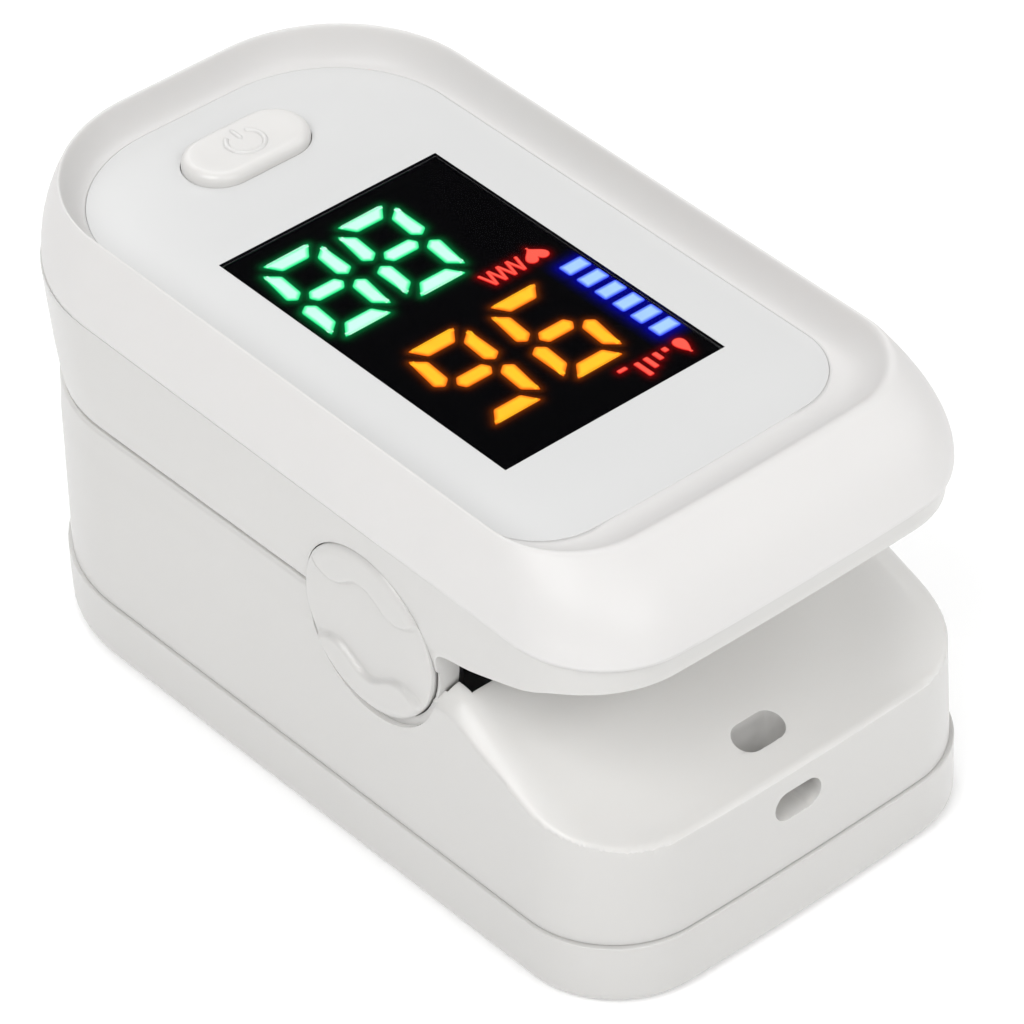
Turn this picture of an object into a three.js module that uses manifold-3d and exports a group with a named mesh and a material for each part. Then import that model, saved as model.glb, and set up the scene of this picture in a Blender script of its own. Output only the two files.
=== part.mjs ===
// Fingertip pulse oximeter: a spring clip with a sensor pad in each jaw, a lit
// display on the upper jaw and two AAA cells in the lower one.
//
// Frame: millimetres, +Z up, origin at the middle of the flat base.
// -Y is the end where the finger goes in, +Y the end that is squeezed.
// The upper jaw's cover slopes gently down towards +Y, so its pieces are drawn
// level and then turned about the hinge axis by COVER_SLOPE.

import * as THREE from 'three';
import { mergeVertices } from 'three/addons/utils/BufferGeometryUtils.js';
import Module from 'manifold-3d';

const wasm = await Module();
wasm.setup();

// ---------------------------------------------------------------- dimensions

const GAP = 0.3;               // clearance between neighbouring pieces
const WALL = 1.3;              // moulded wall of the housings
const CORNER_POINTS = 8;       // straight pieces in each rounded plan corner
const ROUND = 28;              // sides of a large round feature
const SMALL_ROUND = 14;        // sides of a small round feature

const LENGTH = 58.4;
const WIDTH = 31.3;
const FAR = -LENGTH / 2;       // finger end
const NEAR = LENGTH / 2;       // squeeze end
const NEAR_BOW = 0.35;         // how far the squeeze end bulges at its middle
const FAR_RADIUS = 12;
const NEAR_RADIUS = 6.4;

const HINGE = { y: 8.65, z: 17.7 };
const COVER_SLOPE = THREE.MathUtils.degToRad(1.6);

const BASE_TOP = 4.15;         // top edge of the battery cover
const BASE_FLOOR = 1.0;        // its floor thickness
const LOWER_CREST = 15.05;     // soft edge where the lower side wall turns in
const LOWER_RIM = 17.55;       // top of the lower jaw
const UPPER_RIM = LOWER_RIM + GAP;
const UPPER_CREASE = 20.0;     // faint edge above the upper jaw's rim
const PARTING = 25.2;          // joint between upper shell and top cover
const PANEL_TOP = 28.4;        // level of the face panel
const COVER_CREST = 30.8;      // ridge around the face panel

const SHELL_INNER_HALF = WIDTH / 2 - 0.3 - WALL;   // inside of both housings

const CELL = { radius: 5.25, can: 43.5, nub: 1.0, nubRadius: 1.9, z: 6.5 };
const CELL_X = CELL.radius + 0.2;
const CELL_Y = -24.6;          // where both cans begin

const DISC_RADIUS = 5.6;       // round hinge cap on each side
const LOBE_RADIUS = 5.85;      // tongue of the upper shell behind the cap
const CAP_SEAT = 14.2;         // X of the flat that the cap lies on
const CAP_BAND = 15.3;         // X of the cap's sunken middle band
const CAP_FACE = 15.65;        // X of the cap's raised crescents

const FINGER = { z: 17.4, half: 9.3, rise: 3.5, stop: 3.2 };
const SENSOR_Y = -9;

const WINDOW = { half: 8.35, far: -12.75, near: 13.05 };
const BUTTON = { y: -20.6, run: 2.05, radius: 2.35, top: PANEL_TOP + 0.8 };

// -------------------------------------------------------------- solid helpers

// A closed geometry as a solid that can be joined and cut.
function solid(geometry) {
  const bare = geometry.clone();
  bare.deleteAttribute('normal');
  bare.deleteAttribute('uv');
  const merged = mergeVertices(bare, 1e-4);
  return new wasm.Manifold(new wasm.Mesh({
    numProp: 3,
    vertProperties: new Float32Array(merged.attributes.position.array),
    triVerts: new Uint32Array(merged.index.array),
  }));
}

function join(...solids) {
  return solids.reduce((whole, piece) => whole.add(piece));
}

function cut(body, ...tools) {
  return tools.reduce((whole, tool) => whole.subtract(tool), body);
}

function geometryOf(body) {
  const { numProp, vertProperties, triVerts } = body.getMesh();
  const count = vertProperties.length / numProp;
  const position = new Float32Array(count * 3);
  for (let i = 0; i < count; i += 1) {
    position.set(vertProperties.subarray(i * numProp, i * numProp + 3), i * 3);
  }
  const geometry = new THREE.BufferGeometry();
  geometry.setAttribute('position', new THREE.BufferAttribute(position, 3));
  geometry.setIndex([...triVerts]);
  geometry.computeVertexNormals();
  return geometry;
}

// ------------------------------------------------------------- shape helpers

// Plan outline of a jaw at one level: half width, far and near ends, the two
// corner radii and the bulge of the near end. Always the same point count.
function planPoints(level) {
  const { half, far, near, farRadius = FAR_RADIUS, nearRadius = NEAR_RADIUS, bow = 0 } = level;
  const corners = [
    [half - nearRadius, near - nearRadius, nearRadius, 0],
    [-half + nearRadius, near - nearRadius, nearRadius, 1],
    [-half + farRadius, far + farRadius, farRadius, 2],
    [half - farRadius, far + farRadius, farRadius, 3],
  ];
  const points = [];
  for (const [x, y, radius, quarter] of corners) {
    for (let i = 0; i <= CORNER_POINTS; i += 1) {
      const angle = (quarter + i / CORNER_POINTS) * Math.PI / 2;
      points.push(new THREE.Vector2(x + radius * Math.cos(angle), y + radius * Math.sin(angle)));
    }
    if (quarter === 0) {
      points.push(new THREE.Vector2(0, near));
    }
  }
  for (const point of points) {
    if (point.y > 0) {
      point.y -= bow * (point.x / half) ** 2;
    }
  }
  return points;
}

// A body whose plan outline changes from level to level.
function loft(levels) {
  const rings = levels.map(planPoints);
  const last = levels.length - 1;
  const geometry = new THREE.ExtrudeGeometry(new THREE.Shape(rings[0]), {
    depth: last, steps: last, bevelEnabled: false,
  });
  const position = geometry.attributes.position;
  for (let i = 0; i < position.count; i += 1) {
    const level = Math.round(position.getZ(i));
    const drawn = new THREE.Vector2(position.getX(i), position.getY(i));
    const away = rings[0].map((point) => point.distanceToSquared(drawn));
    const point = rings[level][away.indexOf(Math.min(...away))];
    position.setXYZ(i, point.x, point.y, levels[level].z);
  }
  return geometry;
}

function inset(level, by) {
  const { half, far, near, farRadius = FAR_RADIUS, nearRadius = NEAR_RADIUS } = level;
  return {
    ...level,
    half: half - by,
    far: far + by,
    near: near - by,
    farRadius: farRadius - by,
    nearRadius: Math.max(nearRadius - by, 1),
  };
}

// A straight-sided slab with a plan outline.
function slab(level, bottom, top) {
  return loft([{ ...level, z: bottom }, { ...level, z: top }]);
}

// Extrudes a (Y, Z) outline from x0 to x1.
function alongX(shape, x0, x1, steps = 1) {
  const geometry = new THREE.ExtrudeGeometry(shape, {
    depth: x1 - x0, steps, bevelEnabled: false, curveSegments: SMALL_ROUND,
  });
  const turn = new THREE.Matrix4().makeBasis(
    new THREE.Vector3(0, 1, 0), new THREE.Vector3(0, 0, 1), new THREE.Vector3(1, 0, 0));
  return geometry.applyMatrix4(turn).translate(x0, 0, 0);
}

function upright(shape, bottom, top, segments = SMALL_ROUND) {
  return new THREE.ExtrudeGeometry(shape, {
    depth: top - bottom, bevelEnabled: false, curveSegments: segments,
  }).translate(0, 0, bottom);
}

function box([x0, x1], [y0, y1], [z0, z1]) {
  return new THREE.BoxGeometry(x1 - x0, y1 - y0, z1 - z0)
    .translate((x0 + x1) / 2, (y0 + y1) / 2, (z0 + z1) / 2);
}

function cylinderX(radius, [x0, x1], y, z, sides = SMALL_ROUND) {
  return new THREE.CylinderGeometry(radius, radius, x1 - x0, sides)
    .rotateZ(Math.PI / 2).translate((x0 + x1) / 2, y, z);
}

function cylinderY(radius, x, [y0, y1], z, sides = SMALL_ROUND) {
  return new THREE.CylinderGeometry(radius, radius, y1 - y0, sides).translate(x, (y0 + y1) / 2, z);
}

function cylinderZ(radius, x, y, [z0, z1], sides = SMALL_ROUND) {
  return new THREE.CylinderGeometry(radius, radius, z1 - z0, sides)
    .rotateX(Math.PI / 2).translate(x, y, (z0 + z1) / 2);
}

// The span between two distances from the middle plane, on one side of it.
function sideSpan(side, near, far) {
  return side > 0 ? [near, far] : [-far, -near];
}

// A slot shape: two half circles of the radius, their centres at +-run.
function obround(run, radius, x = 0, y = 0) {
  const shape = new THREE.Shape();
  shape.absarc(x + run, y, radius, -Math.PI / 2, Math.PI / 2);
  shape.absarc(x - run, y, radius, Math.PI / 2, 3 * Math.PI / 2);
  return shape;
}

function outline(points) {
  return new THREE.Shape(points.map(([a, b]) => new THREE.Vector2(a, b)));
}

// Turns a level drawing of a cover piece to the slope that the cover has.
function sloped(geometry) {
  return geometry.translate(0, -HINGE.y, -HINGE.z).rotateX(-COVER_SLOPE).translate(0, HINGE.y, HINGE.z);
}

// --------------------------------------------------------- the finger passage

// The opening that the two pads leave between them: an oval channel that
// flares at the mouth and closes in a rounded end.
function fingerPassage(grow = 0) {
  const stations = [
    { y: FAR - 2, scale: 1.22 },
    { y: FAR + 1.6, scale: 1.12 },
    { y: FAR + 5, scale: 1.02 },
    { y: FAR + 9, scale: 1 },
    { y: FINGER.stop - 6, scale: 1 },
    { y: FINGER.stop - 2.4, scale: 0.88 },
    { y: FINGER.stop - 0.6, scale: 0.62 },
    { y: FINGER.stop, scale: 0.3 },
  ];
  const last = stations.length - 1;
  const geometry = new THREE.CylinderGeometry(1, 1, last, ROUND, last);
  const position = geometry.attributes.position;
  for (let i = 0; i < position.count; i += 1) {
    const { y, scale } = stations[Math.round(position.getY(i) + last / 2)];
    const x = position.getX(i) * (FINGER.half * scale + grow);
    const z = FINGER.z + position.getZ(i) * (FINGER.rise * scale + grow);
    position.setXYZ(i, x, y, z);
  }
  return solid(geometry);
}

const passage = fingerPassage();

// ------------------------------------------------------------ the battery cover

const baseEdge = 0.7;          // rounding of the bottom edge
const baseLevel = { half: WIDTH / 2, far: FAR, near: NEAR, bow: NEAR_BOW };

function batteryCover() {
  const outer = solid(loft([
    { ...inset(baseLevel, baseEdge), z: 0 },
    { ...inset(baseLevel, baseEdge * 0.3), z: baseEdge * 0.3 },
    { ...baseLevel, z: baseEdge },
    { ...baseLevel, z: BASE_TOP },
  ]));
  const hollow = solid(slab(inset(baseLevel, WALL + 0.2), BASE_FLOOR, BASE_TOP + 1));
  return cut(outer, hollow);
}

// -------------------------------------------------------------- the lower shell

const lowerBottom = BASE_TOP + GAP;
const lowerFoot = { half: WIDTH / 2 - 0.2, far: FAR + 0.15, near: NEAR - 0.2, bow: NEAR_BOW };
const lowerCrest = inset(lowerFoot, 0.27);
const lowerRim = inset(lowerCrest, 0.14);
const rimRound = 0.2;          // rounding of the edges that face the finger gap

// Middle height of the ramp that the squeezed end slopes down on.
const rampLine = [
  [13.9, 16.35], [15.7, 16.25], [18.2, 15.2], [20, 14.4], [21.9, 13.5],
  [24, 12.55], [26, 11.85], [28, 11.4], [31, 11.2],
];
const rampInnerEdge = 15.7;    // Y where the ramp's roof begins
const rampRoof = 1.0;
const rampShoulder = { from: 12.3, run: 3.0 };

// How much lower the ramp is at its side edges than at its middle.
function rampDrop(x, y) {
  const side = THREE.MathUtils.clamp((Math.abs(x) - rampShoulder.from) / rampShoulder.run, 0, 1);
  const depth = THREE.MathUtils.clamp(THREE.MathUtils.mapLinear(y, 15.3, 29, 1.6, 0.1), 0, 1.75);
  return depth * side ** 2;
}

// Everything above the ramp, for cutting; lowered bodily by a wall thickness
// it also bounds the hollow below the roof.
function aboveRamp(lower = 0) {
  const curve = new THREE.SplineCurve(rampLine.map(([y, z]) => new THREE.Vector2(y, z - lower)));
  const edge = curve.getPoints(24);
  const start = edge[0];
  const points = [...edge, new THREE.Vector2(edge.at(-1).x, 40), new THREE.Vector2(start.x, 40)];
  const steps = 26;
  const geometry = alongX(new THREE.Shape(points), 0, steps, steps);
  const position = geometry.attributes.position;
  const reach = WIDTH / 2 + 0.6;
  for (let i = 0; i < position.count; i += 1) {
    const across = position.getX(i) / steps * 2 - 1;
    const x = reach * Math.sin(across * Math.PI / 2);
    const y = position.getY(i);
    const z = position.getZ(i);
    position.setXYZ(i, x, y, z > 30 ? z : z - rampDrop(x, y));
  }
  return solid(geometry);
}

const lanyard = { x: 0.6, run: 0.8, radius: 1.0, y: NEAR - 3.65, faceZ: 8.95 };

// Two meeting holes at the squeezed end that leave a bar for a strap.
function lanyardHoles() {
  const slot = obround(lanyard.run, lanyard.radius, lanyard.x, lanyard.y);
  const down = solid(upright(slot, lanyard.faceZ - lanyard.radius, 20));
  const face = new THREE.ExtrudeGeometry(obround(lanyard.run, lanyard.radius), {
    depth: 6, bevelEnabled: false, curveSegments: SMALL_ROUND,
  });
  face.rotateX(Math.PI / 2).translate(lanyard.x, lanyard.y + 5, lanyard.faceZ);
  return join(down, solid(face));
}

// Round notch that clears the upper jaw's tongue and cap, a little low and near.
const notch = { radius: LOBE_RADIUS + 0.6, shift: 0.2 };

function lowerShell() {
  const outer = solid(loft([
    { ...lowerFoot, z: lowerBottom },
    { ...lowerCrest, z: LOWER_CREST },
    { ...lowerRim, z: LOWER_RIM - rimRound },
    { ...inset(lowerRim, rimRound), z: LOWER_RIM },
  ]));
  const hollow = solid(slab({
    half: SHELL_INNER_HALF, far: FAR + 0.3 + WALL, near: NEAR - 0.4 - WALL,
    farRadius: 10.6, nearRadius: 4.8, bow: NEAR_BOW,
  }, 0, 30));
  const fingerSide = solid(box([-20, 20], [FAR - 5, rampInnerEdge], [0, 40]));
  const underRoof = cut(hollow, aboveRamp(rampRoof), fingerSide);
  const openBay = hollow.intersect(fingerSide);
  const strapBlock = solid(box([lanyard.x - 3.2, lanyard.x + 3.2], [lanyard.y - 2, NEAR - 1],
    [lanyard.faceZ - 2, 13]));
  const block = cut(strapBlock, aboveRamp(0.2));
  const shell = join(cut(outer, aboveRamp(), underRoof, openBay), block);
  const notches = [];
  for (const side of [-1, 1]) {
    notches.push(solid(cylinderX(notch.radius, sideSpan(side, 12, 17),
      HINGE.y + notch.shift, HINGE.z - notch.shift, ROUND)));
  }
  return cut(shell, lanyardHoles(), passage, ...notches);
}

// -------------------------------------------------- lower frame with hinge ears

const frameSide = { outer: 11.85, inner: 11.0 };
const frameTop = { under: 11.9, over: 12.35 };
const frameFoot = 1.6;
const framePlate = { far: -27.2, inner: -26.3, near: 21.8, nearInner: 20.95 };
const ear = { x0: 11.3, x1: 12.5, radius: 3.6, bore: 1.5 };

function lowerFrame() {
  const plan = {
    half: frameSide.outer, far: framePlate.far, near: framePlate.near, farRadius: 9.5, nearRadius: 2.5,
  };
  const block = solid(slab(plan, frameFoot, frameTop.over));
  const inside = solid(box([-frameSide.inner, frameSide.inner],
    [framePlate.inner, framePlate.nearInner], [0, frameTop.under]));
  const sensorHole = solid(box([-2.3, 2.3], [SENSOR_Y - 2.3, SENSOR_Y + 2.3], [10, 14]));
  let frame = cut(block, inside, sensorHole);
  for (const side of [-1, 1]) {
    const span = sideSpan(side, ear.x0, ear.x1);
    const profile = new THREE.Shape();
    profile.moveTo(HINGE.y - ear.radius, frameTop.under);
    profile.lineTo(HINGE.y + ear.radius, frameTop.under);
    profile.lineTo(HINGE.y + ear.radius, HINGE.z);
    profile.absarc(HINGE.y, HINGE.z, ear.radius, 0, Math.PI, false);
    profile.closePath();
    const plate = solid(alongX(profile, span[0], span[1]));
    const bore = solid(cylinderX(ear.bore, [span[0] - 1, span[1] + 1], HINGE.y, HINGE.z));
    frame = cut(join(frame, plate), bore);
  }
  return frame;
}

// ------------------------------------------------------------- silicone pads

const padLevel = { half: 11.9, far: FAR + 2.3, near: 4.4, farRadius: 9.6, nearRadius: 2 };
const lowerPadBottom = frameTop.over + 0.25;
const upperPadTop = 21.75;
const padFaceGap = 0.25;       // each pad stays this far inside its rim

function lowerPad() {
  const block = solid(slab(padLevel, lowerPadBottom, LOWER_RIM - padFaceGap));
  const lensHole = solid(cylinderZ(2.3, 0, SENSOR_Y, [10, 15], SMALL_ROUND));
  return cut(block, passage, lensHole);
}

function upperPad() {
  const block = solid(slab(padLevel, UPPER_RIM + padFaceGap, upperPadTop));
  const lensHole = solid(cylinderZ(2.3, 0, SENSOR_Y, [18, 23], SMALL_ROUND));
  return cut(block, passage, lensHole);
}

// --------------------------------------------------------------- upper shell

const lip = { y: NEAR - 1.0, z: 23.0 };
const shellFloor = 1.2;
const ceiling = { under: 22.05, over: 22.95 };
const underEdge = [
  [14.9, 19.5], [18, 20.3], [22.6, 21.8], [25.2, 22.6], [lip.y + 2.5, lip.z + 0.15],
];

// Side view of the upper shell: rim along the finger, a round tongue at the
// hinge, then an underside that rises to the lip of the squeezed end.
function upperProfile(lift = 0) {
  const tongueStart = Math.PI + Math.asin((HINGE.z - UPPER_RIM) / LOBE_RADIUS);
  const shape = new THREE.Shape();
  shape.moveTo(FAR - 5, UPPER_RIM + lift);
  shape.lineTo(HINGE.y + LOBE_RADIUS * Math.cos(tongueStart), UPPER_RIM + lift);
  shape.absarc(HINGE.y, HINGE.z + lift, LOBE_RADIUS, tongueStart, 2 * Math.PI + 0.05, false);
  shape.splineThru(underEdge.map(([y, z]) => new THREE.Vector2(y, z + lift)));
  shape.lineTo(NEAR + 5, 40);
  shape.lineTo(FAR - 5, 40);
  shape.closePath();
  return shape;
}

const upperParting = {
  half: 15.52, far: FAR + 0.3, near: NEAR - 0.55, farRadius: 12, nearRadius: 6.4, bow: NEAR_BOW,
};
const upperCrease = inset({ ...upperParting, near: NEAR - 0.9 }, 0.34);
const upperRim = inset({ ...upperCrease, near: NEAR - 1.6 }, 0.2);
const upperInner = {
  half: 13.4, far: FAR + 2.5, near: NEAR - 3.2, farRadius: 10.3, nearRadius: 4.3, bow: NEAR_BOW,
};
const coverScrew = { x: 11.2, y: 18.6, shank: 0.85, head: 1.6, headTop: 22.1, top: 25.4 };
const screwBoss = { radius: 2.5, top: 23.5 };
const hingeBayHalf = 12.75;    // room between the tongues for the ears and springs

function upperShell() {
  const outer = solid(loft([
    { ...inset(upperRim, rimRound), z: 11 },
    { ...inset(upperRim, rimRound), z: UPPER_RIM },
    { ...upperRim, z: UPPER_RIM + rimRound },
    { ...upperCrease, z: UPPER_CREASE },
    { ...upperParting, z: PARTING + 0.4 },
    { ...upperParting, z: PARTING + 3 },
  ]));
  const kept = outer.intersect(solid(alongX(upperProfile(), -18, 18)));
  const overParting = solid(sloped(box([-30, 30], [-60, 60], [PARTING, 60])));
  const boardBay = cut(solid(slab(upperInner, ceiling.over, 40)),
    solid(box([-20, 20], [5, 40], [0, 60])));
  const bosses = [-1, 1].map((side) => solid(
    cylinderZ(screwBoss.radius, side * coverScrew.x, coverScrew.y, [10, screwBoss.top])));
  const beforeBay = solid(box([-20, 20], [-60, 15.4], [0, 60]));
  const nearBay = cut(solid(slab(upperInner, 10, 40)), beforeBay, ...bosses)
    .intersect(solid(alongX(upperProfile(shellFloor), -18, 18)));
  const hingeBay = join(
    solid(box([-hingeBayHalf, hingeBayHalf], [4.6, 15.5], [10, 40])),
    solid(box([-hingeBayHalf, hingeBayHalf], [2.2, 5.4], [10, ceiling.under - 0.2])),
  );
  const padBay = solid(slab({ ...padLevel, half: padLevel.half + GAP, far: padLevel.far - GAP,
    near: padLevel.near + 0.2, farRadius: 9.9 }, 10, ceiling.under));
  const emitterHole = solid(box([-2, 2], [SENSOR_Y - 2, SENSOR_Y + 2], [20, 25]));
  const tools = [overParting, boardBay, nearBay, hingeBay, padBay, emitterHole, passage];
  for (const side of [-1, 1]) {
    const seat = sideSpan(side, CAP_SEAT, 18);
    const bore = sideSpan(side, 12, 18);
    tools.push(solid(cylinderX(DISC_RADIUS + 0.25, seat, HINGE.y, HINGE.z, ROUND)));
    tools.push(solid(cylinderX(ear.bore, bore, HINGE.y, HINGE.z)));
    const { x, y, shank, head, headTop } = coverScrew;
    tools.push(solid(cylinderZ(shank + GAP, side * x, y, [15, 30])));
    tools.push(solid(cylinderZ(head + GAP, side * x, y, [15, headTop])));
  }
  return cut(kept, ...tools);
}

// ------------------------------------------------------------- hinge caps

const cap = { rimRound: 0.35, valley: 3.4, shoulder: 2.2 };

// Inner edge of a crescent, as a height over the distance along the cap.
function crescentEdge(y) {
  return cap.shoulder + (cap.valley - cap.shoulder) * Math.cos(Math.PI * y / (DISC_RADIUS * 1.05)) ** 2;
}

function hingeCap(side) {
  const disc = solid(cylinderX(DISC_RADIUS, [CAP_SEAT + GAP, CAP_BAND], HINGE.y, HINGE.z, ROUND));
  let whole = disc;
  for (const up of [-1, 1]) {
    const radius = DISC_RADIUS - cap.rimRound;
    const reach = Math.sqrt(radius ** 2 - cap.shoulder ** 2) - 0.15;
    const start = Math.asin(crescentEdge(reach) / radius);
    const points = [];
    for (let i = 0; i <= 14; i += 1) {
      const angle = THREE.MathUtils.lerp(start, Math.PI - start, i / 14);
      points.push(new THREE.Vector2(radius * Math.cos(angle), up * radius * Math.sin(angle)));
    }
    for (let i = 1; i < 12; i += 1) {
      const y = THREE.MathUtils.lerp(-reach, reach, i / 12);
      points.push(new THREE.Vector2(y, up * crescentEdge(y)));
    }
    const crescent = alongX(new THREE.Shape(points), CAP_BAND - 0.2, CAP_FACE);
    whole = join(whole, solid(crescent.translate(0, HINGE.y, HINGE.z)));
  }
  return side > 0 ? whole : whole.mirror([1, 0, 0]);
}

// --------------------------------------------------------------- top cover

const coverFoot = { ...upperParting, half: 15.55, near: NEAR - 0.5 };
const crest = {
  half: 14.05, far: FAR + 2.0, near: NEAR - 4.8, farRadius: 10, nearRadius: 5.5, bow: NEAR_BOW,
};
const panelEdge = {
  half: 12.6, far: FAR + 3.1, near: NEAR - 8.9, farRadius: 9, nearRadius: 4.5, bow: NEAR_BOW,
};
const panelThickness = 0.85;

// A plan outline between two others.
function between(a, b, t) {
  const mix = (name) => THREE.MathUtils.lerp(a[name], b[name], t);
  return { half: mix('half'), far: mix('far'), near: mix('near'),
    farRadius: mix('farRadius'), nearRadius: mix('nearRadius'), bow: NEAR_BOW };
}

function topCover() {
  const foot = PARTING + 0.15;
  const wallLevels = [0, 0.2, 0.4, 0.6, 0.8, 0.93, 1].map((h) => ({
    ...between(coverFoot, crest, h ** 2.1), z: THREE.MathUtils.lerp(foot, COVER_CREST - 0.12, h),
  }));
  const outer = solid(loft([...wallLevels, { ...between(coverFoot, crest, 1.1), z: COVER_CREST }]));
  const scoopLevels = [0, 0.3, 0.55, 0.75, 0.9].map((u) => ({
    ...between(panelEdge, crest, u), z: PANEL_TOP + (COVER_CREST - PANEL_TOP) * u ** 2,
  }));
  const scoop = solid(loft([...scoopLevels, { ...between(panelEdge, crest, 1), z: COVER_CREST + 0.3 }]));
  const opening = solid(slab(panelEdge, PANEL_TOP - 1.15, PANEL_TOP + 0.4));
  const ledgeOpening = solid(slab(inset(panelEdge, 1.1), PARTING, PANEL_TOP));
  const bay = solid(slab(inset(upperParting, 1.8), PARTING - 1, PARTING + 0.9));
  let cover = cut(outer, scoop, opening, ledgeOpening, bay);
  for (const side of [-1, 1]) {
    const x = side * coverScrew.x;
    const boss = solid(cylinderZ(1.95, x, coverScrew.y, [PARTING - 0.9, PARTING + 1.2]));
    const pilot = solid(cylinderZ(coverScrew.shank + 2 * GAP, x, coverScrew.y,
      [PARTING - 2, PARTING + 0.9]));
    cover = cut(join(cover, boss), pilot);
  }
  return cover;
}

// --------------------------------------------- face panel, window and button

const panelLevel = inset(panelEdge, 0.25);

function facePanel() {
  const sheet = solid(slab(panelLevel, PANEL_TOP - panelThickness, PANEL_TOP));
  const window = solid(box([-WINDOW.half, WINDOW.half], [WINDOW.far, WINDOW.near], [20, 40]));
  const buttonHole = solid(upright(obround(BUTTON.run, BUTTON.radius + 0.2, 0, BUTTON.y), 20, 40));
  return cut(sheet, window, buttonHole);
}

function displayWindow() {
  const clear = 0.15;
  return solid(box([clear - WINDOW.half, WINDOW.half - clear],
    [WINDOW.far + clear, WINDOW.near - clear], [PANEL_TOP - 0.25, PANEL_TOP]));
}

function powerButton() {
  const edge = 0.35;
  const depth = 2.2;
  const crown = new THREE.ExtrudeGeometry(obround(BUTTON.run, BUTTON.radius - edge, 0, BUTTON.y), {
    depth, bevelEnabled: true, bevelSize: edge, bevelThickness: edge, bevelSegments: 3,
    curveSegments: SMALL_ROUND,
  }).translate(0, 0, BUTTON.top - edge - depth);
  const flange = upright(obround(BUTTON.run, BUTTON.radius + 0.8, 0, BUTTON.y), 26.5, 27.2);
  const stem = cylinderZ(1.4, 0, BUTTON.y, [26.0, 27]);
  return join(solid(crown), solid(flange), solid(stem), powerMark());
}

// Raised on/off mark on the button: an open ring with a bar in its gap.
function powerMark() {
  const ring = new THREE.Shape();
  const gap = Math.PI / 5;
  const top = BUTTON.top;
  ring.absarc(0, BUTTON.y, 1.15, gap - Math.PI / 2, 1.5 * Math.PI - gap, false);
  ring.absarc(0, BUTTON.y, 0.87, 1.5 * Math.PI - gap, gap - Math.PI / 2, true);
  const bar = box([-0.14, 0.14], [BUTTON.y - 1.4, BUTTON.y - 0.2], [top - 0.3, top + 0.08]);
  return join(solid(upright(ring, top - 0.3, top + 0.08, 10)), solid(bar));
}

// ------------------------------------------------------------ display module

const ledModule = { half: 8.8, bottom: 25.1, shoulder: 27.2, top: PANEL_TOP - 0.55, lit: 0.15 };
const litSink = 0.1;           // how far each lit bar starts below the module's top

// Both rows of figures, as value, X and Y of the middle.
const litFigures = [[8, -0.75, -6.9], [8, 4.95, -6.9], [9, -2.4, 5.1], [6, 3.85, 5.1]];
const digit = { half: 1.9, rise: 3.68, bar: 0.56, slant: 0.075 };
const pulseBars = { x: [-8.1, -6.65], y: 0.75, pitch: 1.56, height: 1.0, count: 6 };

// Which of the seven bars of a figure are lit: top, bottom, upper left,
// upper right, lower left, lower right, middle.
const figures = { 8: [1, 1, 1, 1, 1, 1, 1], 9: [1, 1, 1, 1, 0, 1, 1], 6: [1, 1, 1, 0, 1, 1, 1] };

// Outlines of the seven bars of one figure about its middle: trapezoids at the
// ends, mitred uprights and a pointed middle bar.
function barOutlines() {
  const { half, rise, bar } = digit;
  const end = [[-1.75, rise + bar], [1.75, rise + bar], [1.0, rise - bar], [-1.0, rise - bar]];
  const upright = [
    [half + bar, 0.75], [half, 0.33], [half - bar, 0.8], [half - bar, 2.75], [half + bar - 0.2, 3.55],
  ];
  const middle = [[-1.3, 0], [-0.95, -bar], [0.95, -bar], [1.3, 0], [0.95, bar], [-0.95, bar]];
  const flip = (points, u, v) => points.map(([x, y]) => [x * u, y * v]);
  return [
    end, flip(end, 1, -1), flip(upright, -1, 1), upright,
    flip(upright, -1, -1), flip(upright, 1, -1), middle,
  ];
}

function figureShapes([value, x, y]) {
  const lit = barOutlines().filter((_, i) => figures[value][i]);
  return lit.map((points) => outline(points.map(([u, v]) => [x + u + v * digit.slant, y + v])));
}

function pulseShapes() {
  const { x: [x0, x1], height } = pulseBars;
  return Array.from({ length: pulseBars.count }, (_, i) => {
    const y = pulseBars.y + i * pulseBars.pitch;
    return outline([[x0, y], [x1, y], [x1, y + height], [x0, y + height]]);
  });
}

function ledDisplay() {
  const { half, bottom, shoulder, top, lit } = ledModule;
  const under = 0.6;
  const clear = 0.15;
  const foot = solid(box([-half, half], [WINDOW.far - under, WINDOW.near + under], [bottom, shoulder]));
  const block = solid(box([clear - WINDOW.half, WINDOW.half - clear],
    [WINDOW.far + clear, WINDOW.near - clear], [shoulder - 1, top]));
  const shapes = [...litFigures.flatMap(figureShapes), ...pulseShapes()];
  const bars = shapes.map((shape) => solid(upright(shape, top - litSink, top + lit)));
  return join(foot, block, ...bars);
}

// ----------------------------------------------------------- cells, contacts

function cell(side) {
  const { radius, can, nub, nubRadius } = CELL;
  const edge = 0.5;
  const profile = [
    [0, 0], [radius - edge, 0], [radius, edge], [radius, can - edge], [radius - edge, can],
    [nubRadius, can], [nubRadius, can + nub], [0, can + nub],
  ].map(([r, h]) => new THREE.Vector2(r, h));
  const geometry = new THREE.LatheGeometry(profile, 20);
  if (side < 0) {
    return geometry.rotateZ(Math.PI).translate(side * CELL_X, CELL_Y + can, CELL.z);
  }
  return geometry.translate(side * CELL_X, CELL_Y, CELL.z);
}

// A wire of round section along a curve.
function wire(curve, radius, steps, sides = 6) {
  const section = new THREE.Shape();
  section.absarc(0, 0, radius, 0, 2 * Math.PI);
  return new THREE.ExtrudeGeometry(section, {
    steps, extrudePath: curve, bevelEnabled: false, curveSegments: sides,
  });
}

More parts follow.
